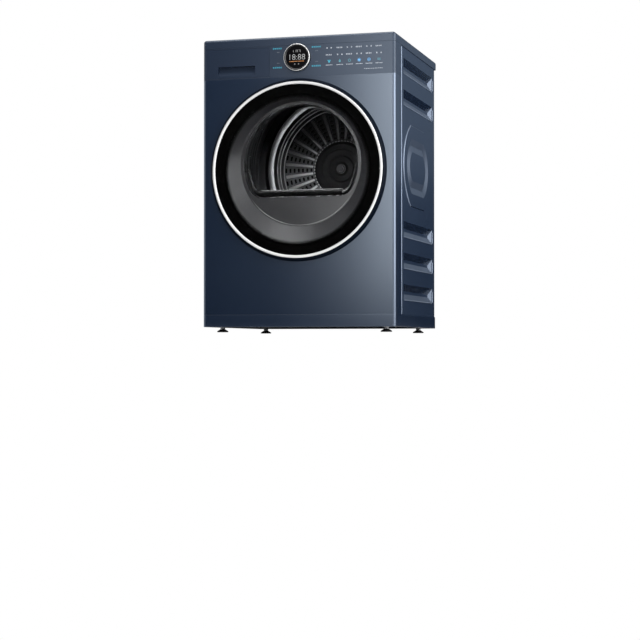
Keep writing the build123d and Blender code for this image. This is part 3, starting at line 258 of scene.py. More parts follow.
def new_material(name, colour, roughness, **sockets):
    """A material with one Principled shader, its plain numbers set on the shader's own sockets."""
    material = bpy.data.materials.new(name)
    material.use_nodes = True
    inputs = shader_of(material).inputs
    inputs["Base Color"].default_value = (*colour, 1)
    inputs["Roughness"].default_value = roughness
    for socket, value in sockets.items():
        inputs[socket.replace("_", " ")].default_value = value
    return material


def dead_black(name, tone):
    """Black print or cloth, with no shine."""
    return new_material(name, (tone, tone, tone), 1.0, Specular_IOR_Level=0.0)


def grained(name, colour, roughness, tones, spread, grain, cloud, share, bump=0.0, stretch=(1, 1, 1),
            **sockets):
    """A finish whose colour, roughness and relief vary with the shared grain."""
    material = new_material(name, colour, roughness, **sockets)
    tree = material.node_tree
    place = add_node(tree, "ShaderNodeTexCoord").outputs["Object"]
    place = add_node(tree, "ShaderNodeMapping", {"Vector": place, "Scale": stretch}).outputs["Vector"]
    noise = add_node(tree, "ShaderNodeGroup", {
        "Vector": place, "Grain Size": grain, "Cloud Size": cloud, "Grain Share": share},
        node_tree=grain_group()).outputs
    dark, light = ((*shade(colour, tone), 1) for tone in tones)
    feed(material, "Base Color", mixed(tree, noise["Mask"], dark, light))
    feed(material, "Roughness", ramp(tree, noise["Cloud"], 0, 1, roughness - spread, roughness + spread))
    if bump:
        relief = {"Strength": 0.5, "Distance": bump, "Height": noise["Grain"]}
        feed(material, "Normal", add_node(tree, "ShaderNodeBump", relief).outputs["Normal"])
    return material


def metallic_paint(name, colour, roughness, specular):
    return grained(name, colour, roughness, (0.82, 1.18), 0.03, grain=2600.0, cloud=4.0, share=0.8,
                   bump=0.00002, Specular_IOR_Level=specular, Specular_Tint=(0.76, 0.87, 1, 1))


def moulded_plastic(name, colour, roughness, specular=0.5, bump=0.00006):
    return grained(name, colour, roughness, (0.88, 1.12), 0.05, grain=1500.0, cloud=8.0, share=0.5,
                   bump=bump, Specular_IOR_Level=specular)


def smooth_plastic(name, colour, roughness, specular):
    return moulded_plastic(name, colour, roughness, specular, bump=0.0)


def sheet_metal(name, colour, roughness, stretch=(1, 1, 1), grain=300.0):
    return grained(name, colour, roughness, (0.85, 1.1), 0.08, grain=grain, cloud=12.0, share=0.6,
                   bump=0.00001, stretch=stretch, Metallic=1.0)


def satin_silver(name, light):
    """Blasted and lacquered metal: part mirror, part pale coat."""
    return grained(name, (light, light, light), 0.32, (0.96, 1.03), 0.04, grain=1800.0, cloud=3.0,
                   share=0.5, Metallic=0.45)


def clear_glass(name, colour, ior):
    """Lamps shine through the pane as well as the eye does."""
    glass = new_material(name, colour, 0.0, IOR=ior, Transmission_Weight=1.0)
    return clear_where(glass, "ShaderNodeLightPath", "Is Shadow Ray")


def paint_fold_highlight(material, axis, colour, strength):
    """Along a fold the paint is made paler, a painted highlight, and more metallic than the flat of its
    panel.
    """
    flake_metal = 0.8
    tree = material.node_tree
    mask = add_node(tree, "ShaderNodeGroup", {
        "Facing": component(tree, "Normal", axis), "Strength": strength},
        node_tree=fold_group()).outputs["Mask"]
    overlay(material, "Base Color", mask, (*colour, 1))
    feed(material, "Metallic", calculate(tree, "MULTIPLY", mask, flake_metal))


def finish_node(node, material):
    """Puts one material in every slot of a CAD node."""
    mesh = nodes[node].data
    if not mesh.materials:
        mesh.materials.append(material)
    for place in range(len(mesh.materials)):
        mesh.materials[place] = material


def hand_over(piece, material, body):
    """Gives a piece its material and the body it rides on."""
    piece.data.materials.clear()
    piece.data.materials.append(material)
    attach(piece, body)


def hand_over_as(piece, material, node):
    """Gives a piece its material, with the body of a CAD node."""
    hand_over(piece, material, nodes[node]["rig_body"])


# ---------- mesh tools
def start_clean():
    """Leaves edit mode and selects nothing."""
    if bpy.context.object and bpy.context.object.mode != "OBJECT":
        bpy.ops.object.mode_set(mode="OBJECT")
    bpy.ops.object.select_all(action="DESELECT")


def make_active(piece):
    start_clean()
    piece.select_set(True)
    bpy.context.view_layer.objects.active = piece


def edit_all():
    """Opens the active piece in edit mode with all of it selected."""
    bpy.ops.object.mode_set(mode="EDIT")
    bpy.ops.mesh.select_all(action="SELECT")


def end_edit():
    bpy.ops.object.mode_set(mode="OBJECT")


def add_to_scene(name, data):
    thing = bpy.data.objects.new(name, data)
    bpy.context.scene.collection.objects.link(thing)
    return thing


def apply_modifier(piece, kind, **values):
    make_active(piece)
    modifier = piece.modifiers.new(kind.lower(), kind)
    for name, value in values.items():
        setattr(modifier, name, value)
    bpy.ops.object.modifier_apply(modifier=modifier.name)


def set_down(piece):
    """Moves a piece's place into its mesh."""
    make_active(piece)
    bpy.ops.object.transform_apply(location=True, rotation=True, scale=True)


def smooth(piece, degrees):
    """Smooths a piece's shading over edges that are flatter than this."""
    make_active(piece)
    bpy.ops.object.shade_smooth_by_angle(angle=math.radians(degrees))


def join(pieces, name):
    start_clean()
    for piece in pieces:
        piece.select_set(True)
    bpy.context.view_layer.objects.active = pieces[0]
    if len(pieces) > 1:
        bpy.ops.object.join()
    whole = bpy.context.view_layer.objects.active
    whole.name = whole.data.name = name
    return whole


def dressed(node, material, edge, flat=0.05, fold=50, crease=32):
    """A smooth, softly edged copy of a CAD node that stands for it. The angles are in degrees."""
    piece = add_to_scene(node + "_skin", nodes[node].data.copy())
    make_active(piece)
    edit_all()
    bpy.ops.mesh.remove_doubles(threshold=weld)
    bpy.ops.mesh.dissolve_limited(angle_limit=math.radians(flat))
    end_edit()
    apply_modifier(piece, "BEVEL", width=edge, segments=2, limit_method="ANGLE",
                   angle_limit=math.radians(fold), use_clamp_overlap=True)
    smooth(piece, crease)
    apply_modifier(piece, "WEIGHTED_NORMAL", keep_sharp=True)
    hand_over_as(piece, material, node)
    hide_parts(node)


def small_block(size, place, edge, **bevel):
    """A block with rolled edges, which a pressed or moulded form is then made from."""
    start_clean()
    bpy.ops.mesh.primitive_cube_add(size=1)
    block = bpy.context.active_object
    block.scale = size
    block.location = place
    set_down(block)
    edit_all()
    bpy.ops.mesh.bevel(offset=edge, **bevel)
    end_edit()
    return block


def wreath(block, count, level, name, start=0.0):
    """Copies a block round the drum's axis, at the axis's level, and joins the copies."""
    copies = []
    for number in range(count):
        copy = add_to_scene(name, block.data.copy())
        copy.data.transform(Matrix.Rotation((number + start) * math.tau / count, 4, "Y"))
        copy.data.transform(Matrix.Translation((0, 0, level)))
        copies.append(copy)
    bpy.data.objects.remove(block)
    return join(copies, name)


def flat_mark(x, z, width, height, round_share=0.45):
    """A small printed bar on a plane that faces the front."""
    start_clean()
    bpy.ops.mesh.primitive_plane_add(size=1, rotation=(upright, 0, 0))
    mark = bpy.context.active_object
    mark.scale = (width, height, 1)
    mark.location = (x, 0, z)
    set_down(mark)
    edit_all()
    bpy.ops.mesh.bevel(affect="VERTICES", offset=min(width, height) * round_share, segments=3)
    end_edit()
    return mark


def print_on(marks, name, depth, material):
    """Joins marks into one print that lies on a face of the cabinet at this depth."""
    piece = join(marks, name)
    piece.location = (0, depth, 0)
    set_down(piece)
    apply_modifier(piece, "SOLIDIFY", thickness=print_thickness, offset=0)
    hand_over(piece, material, "cabinet")


def bead(points, radius, taper=0, tip=0.3, crease=60):
    """A rolled bead: an edge drawn point by point, then given its round section."""
    start_clean()
    bpy.ops.mesh.primitive_plane_add(size=0.01)
    edit_all()
    bpy.ops.mesh.merge(type="CENTER")
    bpy.ops.transform.translate(value=points[0])
    for before, after in zip(points, points[1:]):
        shift = Vector(after) - Vector(before)
        bpy.ops.mesh.extrude_vertices_move(TRANSFORM_OT_translate={"value": shift})
    end_edit()
    bpy.ops.object.convert(target="CURVE")
    wire = bpy.context.active_object.data
    wire.bevel_depth = radius
    wire.bevel_resolution = 3
    wire.use_fill_caps = True
    line = wire.splines[0].points
    for n in range(taper):
        line[n].radius = line[-1 - n].radius = (n + tip) / (taper + tip)
    bpy.ops.object.convert(target="MESH")
    smooth(bpy.context.active_object, crease)
    return bpy.context.active_object


def turned(name, profile, radius, depth, level, x=0, segments=192, crease=35):
    """Draws a ring: a circle is extruded through the points of its profile and back to its start.

    The profile's points are steps outwards from a radius and backwards from a depth."""
    loops = [(radius + outwards, depth + backwards) for outwards, backwards in profile]
    start_clean()
    radius, depth = loops[0]
    bpy.ops.mesh.primitive_circle_add(vertices=segments, radius=radius, location=(x, depth, level),
                                      rotation=(upright, 0, 0))
    piece = bpy.context.active_object
    piece.name = piece.data.name = name
    set_down(piece)
    edit_all()
    for (radius, depth), (next_radius, next_depth) in zip(loops, loops[1:] + loops[:1]):
        share = next_radius / radius
        bpy.ops.mesh.extrude_edges_move()
        bpy.ops.transform.resize(value=(share, 1, share), center_override=(x, depth, level))
        bpy.ops.transform.translate(value=(0, next_depth - depth, 0))
    bpy.ops.mesh.select_all(action="SELECT")
    bpy.ops.mesh.remove_doubles(threshold=weld)
    bpy.ops.mesh.normals_make_consistent(inside=False)
    end_edit()
    smooth(piece, crease)
    return piece


def round_of(node):
    """A round node's two corners, its radius and the level of its centre."""
    low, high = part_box(node)
    return low, high, (high.x - low.x) / 2, (low.z + high.z) / 2


# ---------- operators
class StageOperator(bpy.types.Operator):
    """Makes the floor, the white surround, the lights and the camera"""
    bl_idname = "dryer.stage"
    bl_label = "Studio"

    lens, sensor_width = 97.93, 36.0
    camera_place = (1.4565, -5.2358, -0.0513)
    camera_tilt, camera_turn = math.radians(90.958), math.radians(15.65)
    floor_size = 12
    world_light = 0.22
    side_light_colour = (0.66, 0.82, 1.0)
    # name, place, aim, size, and the setting that holds the power
    lamps = (
        ("strip_softbox", (0.10, -1.38, 0.78), (0.10, -0.28, 0.62), (0.24, 1.30), "key_power"),
        ("top_softbox", (-0.20, -0.65, 2.30), (0.0, -0.15, 0.70), (1.2, 0.9), "top_power"),
        ("side_softbox", (1.0, 1.7, 1.10), (0.3, 0.0, 0.6), (1.2, 0.9), "fill_power"),
        ("edge_softbox", (1.65, -0.35, 0.95), (0.3, -0.05, 0.6), (2.1, 1.7), "edge_power"),
        ("drum_lamp", (-0.20, 0.10, 0.445), (-0.11, 0.26, 0.44), (0.05, 0.05), "drum_power"))
    # dark cards keep the white surround out of the paint's reflections: name, place, tilt, size
    cards = (
        ("front_card", (-0.75, -2.1, 1.0), upright, (2.9, 2.6)),
        ("rear_card", (0.5, 2.1, 1.0), upright, (4.0, 2.6)),
        ("floor_card", (1.45, 0.8, 0.004), 0, (2.2, 3.4)),
        ("front_floor_card", (-0.8, -1.55, 0.004), 0, (2.6, 2.4)))

    def execute(self, context):
        self.camera(context)
        self.surround(context)
        self.floor()
        for name, place, aim, size, power in self.lamps:
            self.lamp(name, place, aim, size, getattr(context.scene.dryer_studio, power))
        bpy.data.lights["side_softbox"].color = self.side_light_colour
        drum = bpy.data.objects["drum_lamp"]
        drum.visible_transmission = drum.visible_glossy = False
        for name, place, tilt, size in self.cards:
            self.card(name, place, tilt, size)
        return {"FINISHED"}

    def camera(self, context):
        data = bpy.data.cameras.new("front_camera")
        data.sensor_width = self.sensor_width
        data.lens = self.lens
        camera = add_to_scene("front_camera", data)
        camera.location = self.camera_place
        camera.rotation_euler = (self.camera_tilt, 0, self.camera_turn)
        context.scene.camera = camera
        context.scene.view_settings.view_transform = "Standard"

    def surround(self, context):
        """White to the eye and in mirrors and glass, and dim as a light."""
        world = context.scene.world = bpy.data.worlds.new("white_surround")
        world.use_nodes = True
        tree = world.node_tree
        rays = add_node(tree, "ShaderNodeLightPath").outputs
        seen = calculate(tree, "MAXIMUM", rays["Is Camera Ray"], rays["Is Glossy Ray"])
        seen = calculate(tree, "MAXIMUM", seen, rays["Is Transmission Ray"])
        background = tree.nodes["Background"].inputs
        background["Color"].default_value = (1, 1, 1, 1)
        tree.links.new(ramp(tree, seen, 0, 1, self.world_light, 1), background["Strength"])

    def floor(self):
        start_clean()
        bpy.ops.mesh.primitive_plane_add(size=self.floor_size)
        floor = bpy.context.active_object
        floor.name = "studio_floor"
        white = new_material("floor_white", (0.85, 0.85, 0.85), 0.7)
        floor.data.materials.append(clear_where(white, "ShaderNodeNewGeometry", "Backfacing"))

    def lamp(self, name, place, aim, size, power):
        light = bpy.data.lights.new(name, "AREA")
        light.shape = "RECTANGLE"
        light.size, light.size_y = size
        light.energy = power
        lamp = add_to_scene(name, light)
        lamp.location = place
        lamp.rotation_euler = (Vector(aim) - Vector(place)).to_track_quat("-Z", "Y").to_euler()
        lamp.visible_camera = False

    def card(self, name, place, tilt, size):
        start_clean()
        bpy.ops.mesh.primitive_plane_add(size=1, rotation=(tilt, 0, 0))
        card = bpy.context.active_object
        card.name = name
        card.scale = (*size, 1)
        card.location = place
        set_down(card)
        card.data.materials.append(dead_black(name + "_black", 0.002))
        card.visible_camera = card.visible_diffuse = card.visible_shadow = False


class CabinetOperator(bpy.types.Operator):
    """Paints the cabinet's panels and rounds their folded edges"""
    bl_idname = "dryer.cabinet"
    bl_label = "Cabinet"

    # the pressed pockets: their ends' distance from the panel's edges, and their rows' levels
    front_margin, back_margin = 0.056, 0.036
    top_drop, low_rise, pitch, pocket_height = 0.056, 0.067, 0.0945, 0.048
    lip_radius, edge_radius, lip_sink = 0.0014, 0.0017, 0.0015
    edge_setback = 0.0246

    def execute(self, context):
        cabinet = context.scene.dryer_cabinet
        paint, fascia, side, drawer = (
            metallic_paint(name, colour, cabinet.paint_roughness + rougher, specular)
            for name, colour, rougher, specular in (
                ("cabinet_paint", cabinet.paint, 0.0, 0.8),
                ("fascia_paint", cabinet.fascia_paint, 0.1, 0.6),
                ("side_paint", cabinet.side_paint, 0.08, 0.2),
                ("drawer_paint", cabinet.fascia_paint, 0.1, 0.5)))
        for material, axis, strength in ((paint, "Y", 1.0), (fascia, "Y", 0.12), (side, "X", 0.45)):
            paint_fold_highlight(material, axis, cabinet.fold_light, strength)
        self.paint_pocket_shade(side)
        self.paint_end_highlight(side, shade(cabinet.fold_light, 1.3))
        self.dull_scoop(drawer)
        for node, material in (("front_panel", paint), ("base_plinth", paint), ("control_fascia", fascia),
                               ("worktop", fascia)):
            dressed(node, material, cabinet.edge_round)
        for node, material in (("drawer_front", drawer), ("side_panel_left", side),
                               ("side_panel_right", side)):
            finish_node(node, material)
        # The rolled lips and the panel's rolled front edge get a pale flake tone: a painted highlight
        # along them.
        lip = metallic_paint("lip_paint", shade(cabinet.fold_light, 1.8), 0.34, 0.5)
        shader_of(lip).inputs["Metallic"].default_value = 0.6
        for hand in ("right", "left"):
            self.lips(lip, hand)
        return {"FINISHED"}

    def paint_pocket_shade(self, material):
        """Faces that look down get painted shade: darker, and smoother, than the panel's flat."""
        tree = material.node_tree
        under = ramp(tree, component(tree, "Normal", "Z"), start=-0.28, end=-0.45)
        overlay(material, "Base Color", under, (0.007, 0.012, 0.024, 1))
        overlay(material, "Roughness", under, 0.15, "FLOAT")
        overlay(material, "Metallic", under, 0.0, "FLOAT")

    def paint_end_highlight(self, material, colour):
        """Slopes that look forward carry a painted highlight in the light edge tone."""
        tree = material.node_tree
        ahead = ramp(tree, component(tree, "Normal", "Y"), start=-0.12, end=-0.45)
        overlay(material, "Base Color", ahead, (*colour, 1))

    def dull_scoop(self, material):
        """The hollow under the drawer's lip is grained and dull."""
        tree = material.node_tree
        upward = component(tree, "Normal", "Z")
        feed(material, "Roughness", ramp(tree, upward, start=0.1, end=0.4, low=0.42, high=0.95))

    def lips(self, material, hand):
        """The pressed pockets end in a rolled lip below and behind."""
        node = "side_panel_" + hand
        low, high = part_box(node)
        sunk = high.x - self.lip_sink if hand == "right" else low.x + self.lip_sink
        front, back = low.y + self.front_margin, high.y - self.back_margin
        levels = [high.z - self.top_drop - n * self.pitch for n in (0, 1)]
        levels += [low.z + self.low_rise + n * self.pitch for n in (0, 1, 2)]
        lips = []
        for level in levels:
            foot = level - self.pocket_height / 2 + self.lip_radius
            head = level + self.pocket_height * 0.28
            path = ((front + 0.003, foot), (back - 0.008, foot), (back - 0.0032, foot + 0.0026),
                    (back - 0.0014, foot + 0.008), (back - 0.0014, head))
            lips.append(bead([(sunk, y, z) for y, z in path], self.lip_radius))
        # the panel's front edge is rolled too
        edge = low.y + self.edge_setback
        lips.append(bead([(sunk, edge, low.z + 0.002), (sunk, edge, high.z - 0.003)], self.edge_radius))
        hand_over_as(join(lips, "pocket_lips_" + hand), material, node)


class DoorOperator(bpy.types.Operator):
    """Dresses the door: bright ring, glass with its black border, funnel and window bowl"""
    bl_idname = "dryer.door"
    bl_label = "Door"

    border_gap = 0.0004
    window_rim_gap, window_rim_stand = 0.0012, 0.0032
    ledge_rise = (0.45, 0.36, 0.27, 0.18, 0.09)     # angles up the bowl's side, from the tip down

    def execute(self, context):
        door = context.scene.dryer_door
        gloss = smooth_plastic("door_side_gloss", (0.002, 0.004, 0.009), 0.45, 0.05)
        hinge = smooth_plastic("hinge_black", (0.006, 0.006, 0.007), 0.5, 0.3)
        self.trim(satin_silver("ring_silver", 0.66), gloss)
        for node, material in (
                ("door_outer_frame", gloss), ("hinge_bracket", hinge), ("hinge_arm", hinge),
                ("door_inner_frame", smooth_plastic("funnel_plastic", door.plastic, 0.34, 0.35)),
                ("door_glass", clear_glass("door_pane", (0.93, 0.94, 0.95), 1.07)),
                ("door_window_bowl", clear_glass("bowl_glass", (0.90, 0.91, 0.92), 1.06))):
            finish_node(node, material)
        self.border(door.border_width, door.border_fade)
        self.window_rim()
        self.bowl_ledge()
        return {"FINISHED"}

    def trim(self, silver, dark):
        """The bright ring has a flat face, a soft inner bevel and a dark outer rim."""
        low, high, radius, level = round_of("door_trim_ring")
        thick, inner, edge = high.y - low.y, -0.010, -0.0022
        ring = turned("door_bright_ring", (
            (inner, thick), (inner, 0.0016), (inner + 0.0005, 0.0006), (inner + 0.0016, 0),
            (edge - 0.0006, 0), (edge, 0.0006), (edge, thick)), radius, low.y, level)
        hand_over(ring, silver, "door")
        rim = turned("door_dark_rim", (
            (edge, thick), (edge, 0.0008), (edge + 0.0006, 0.0008), (-0.0004, 0.0012), (0, 0.0020),
            (0, thick)), radius, low.y, level)
        hand_over(rim, dark, "door")
        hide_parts("door_trim_ring")

    def border(self, width, fade):
        """Black print on the back of the pane, which thins out towards the window."""
        _, high, outer, level = round_of("door_glass")
        outer -= self.border_gap
        inner = outer - width
        for name, broad, radius, material in (
                ("door_black_border", width, outer, dead_black("border_print", 0.001)),
                ("door_border_fade", fade, inner, self.fading(inner, fade, level))):
            print_ring = turned(name, ((-broad, -0.0003), (0, -0.0003), (0, -0.0001), (-broad, -0.0001)),
                                radius, high.y, level)
            hand_over(print_ring, material, "door")

    def fading(self, radius, width, level):
        material = dead_black("fading_print", 0.001)
        tree = material.node_tree
        from_centre = add_node(tree, "ShaderNodeMapping", {
            "Vector": add_node(tree, "ShaderNodeTexCoord").outputs["Object"],
            "Location": (0, 0, -level), "Scale": (1, 0, 1)}).outputs["Vector"]
        reach = add_node(tree, "ShaderNodeVectorMath", {0: from_centre}, operation="LENGTH")
        feed(material, "Alpha", ramp(tree, reach.outputs["Value"], start=radius - width, end=radius))
        return material

    def window_rim(self):
        """A thin rim where the funnel meets the bezel: a painted highlight below the window, dark beside
        it.
        """
        low, high, radius, _ = round_of("door_window_bowl")
        rim = turned("window_rim", ((-0.0007, 0.0009), (-0.0004, 0), (0.0004, 0), (0.0007, 0.0009)),
                     radius + self.window_rim_gap, low.y - self.window_rim_stand, high.z - radius,
                     segments=160)
        dark, bright = (0.01, 0.01, 0.01), (0.24, 0.24, 0.24)
        material = new_material("rim_grey", dark, 0.4, Specular_IOR_Level=0.3)
        tree = material.node_tree
        below = ramp(tree, component(tree, "Object", "Z"), start=low.z + 0.01, end=low.z - 0.03)
        feed(material, "Base Color", mixed(tree, below, (*dark, 1), (*bright, 1)))
        hand_over(rim, material, "door")

    def bowl_ledge(self):
        """The dark ledge that closes the bowl along its flat bottom, black as painted shade over the
        window's lower edge, with a painted highlight line on its crest.
        """
        low, high, radius, _ = round_of("door_window_bowl")
        flange, corner, corner_steps = 0.005, 0.045, 9
        radius -= flange
        level = high.z - flange - radius
        # the corner's circle touches the bowl's wall and its flat bottom
        drop = level - (low.z + flange)
        x, z = math.sqrt((radius - corner) ** 2 - (drop - corner) ** 2), corner - drop
        start = math.atan2(z, x)
        turn = start + upright
        # name, distance from the wall, depth, radius, tapered points, first point, tone, roughness
        for name, inset, depth, thick, taper, first, tone, rough in (
                ("bowl_ledge", 0.013, 0.012, 0.0095, 12, 0, 0.003, 0.14),
                ("ledge_line", 0.0225, 0.0105, 0.0007, 3, -4, 0.30, 0.4)):
            arcs = [(0, 0, radius - inset, start + rise) for rise in self.ledge_rise]
            arcs += [(x, z, corner - inset, start - turn * n / corner_steps)
                     for n in range(corner_steps + 1)]
            right = [(across + reach * math.cos(angle), up + reach * math.sin(angle))
                     for across, up, reach, angle in arcs][first:]
            path = right + [(-across, up) for across, up in reversed(right)]
            ledge = bead([(across, low.y + depth, level + up) for across, up in path], thick, taper)
            ledge.name = name
            hand_over(ledge, smooth_plastic(name + "_black", (tone, tone, tone), rough, 0.5),
                      "door")


class DrumOperator(bpy.types.Operator):
    """Dresses the drum: steel skin, rear wall with pressed spokes, dark hub and lifters"""
    bl_idname = "dryer.drum"
    bl_label = "Drum"

    spoke_inner, spoke_outer, spoke_width, spoke_edge = 0.098, 0.190, 0.0085, 0.0026
    # the pressed steps of the rear wall: radius, half width, and how far each stands forward
    steps = ((0.196, 0.0015, 0.003), (0.2065, 0.0015, 0.010), (0.2165, 0.0015, 0.010),
             (0.2375, 0.0095, 0.0165))
    bead_depths = (0.045, 0.065, 0.085, 0.120, 0.140)
    skin = 0.0007       # the drum's sheet
    crown_teeth, tooth_size, tooth_edge = 56, (0.0045, 0.003, 0.0055), 0.0009

    def execute(self, context):
        # The drum's one steel is given lit and shaded tones: spokes, crown, band and beads are painted
        # highlights, the rear wall and the skin painted shade.
        steel = sheet_metal("rib_steel", (0.66, 0.66, 0.67), 0.32)
        wall = sheet_metal("pressed_steel", (0.12, 0.12, 0.124), 0.36)
        wall_front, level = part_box("drum_hub_cover")[1].y, round_of("drum_rear_wall")[3]
        for metal in (steel, wall):
            self.paint_shade_above(metal, level)
        for node, material in (
                ("drum_shell", sheet_metal("drum_steel", (0.03, 0.03, 0.031), 0.30)),
                ("drum_rear_wall", wall),
                ("drum_hub_cover",
                 moulded_plastic("hub_plastic", (0.003, 0.003, 0.0034), 0.45, 0.15, bump=0.00003)),
                ("drum_lifters", moulded_plastic("lifter_plastic", (0.012, 0.012, 0.013), 0.4, 0.3)),
                ("drum_shaft", sheet_metal("blackened_steel", (0.05, 0.05, 0.052), 0.35))):
            finish_node(node, material)
        self.spokes(context.scene.dryer_drum, wall_front, level, steel)
        self.rings(wall_front, level, sheet_metal("band_steel", (0.46, 0.46, 0.465), 0.50))
        self.shell_beads(sheet_metal("bead_steel", (0.20, 0.20, 0.205), 0.30))
        self.hub_crown(steel)
        return {"FINISHED"}

    def paint_shade_above(self, material, level):
        """The steel is painted darker towards the rear wall's top: painted shade."""
        tree = material.node_tree
        clear = ramp(tree, component(tree, "Object", "Z"), start=level + 0.10, end=level - 0.02, low=0.16)
        overlay(material, "Base Color", 1, clear, blend="MULTIPLY")

    def spokes(self, drum, wall_front, level, steel):
        """One pressed rib, which widens outwards, is shaped and then copied round the hub."""
        inner, outer = self.spoke_inner, self.spoke_outer
        rib = small_block((outer - inner, drum.spoke_height * 2, self.spoke_width),
                          ((outer + inner) / 2, wall_front, 0), self.spoke_edge, segments=3, profile=0.6)
        for vertex in rib.data.vertices:
            vertex.co.z *= 0.7 + 0.55 * (vertex.co.x - inner) / (outer - inner)
        spokes = wreath(rib, drum.spoke_count, level, "drum_spokes", 0.5)
        smooth(spokes, 40)
        hand_over(spokes, steel, "drum")

    def rings(self, wall_front, level, steel):
        """The pressed steps round the rear wall."""
        for number, (radius, half, rise) in enumerate(self.steps, 1):
            ring = turned(f"drum_step_{number}", (
                (-half, 0.0018), (-half / 2, 0.0003), (0, 0), (half / 2, 0.0003), (half, 0.0018)),
                radius, wall_front - rise, level, segments=128)
            hand_over(ring, steel, "drum")

    def shell_beads(self, steel):
        """Pressed beads that run round inside the drum's skin."""
        _, high, radius, level = round_of("drum_shell")
        for number, depth in enumerate(self.bead_depths, 1):
            ring = turned(f"drum_bead_{number}", (
                (0, -0.0022), (-0.0016, -0.0010), (-0.0016, 0.0010), (0, 0.0022)),
                radius - self.skin, high.y - depth, level, segments=128)
            hand_over(ring, steel, "drum")

    def hub_crown(self, steel):
        """A bright notched rim round the hub cover."""
        _, high, radius, level = round_of("drum_hub_cover")
        tooth = small_block(self.tooth_size, (radius + 0.001, high.y - 0.0025, 0), self.tooth_edge,
                            segments=2)
        hand_over(wreath(tooth, self.crown_teeth, level, "hub_crown"), steel, "drum")


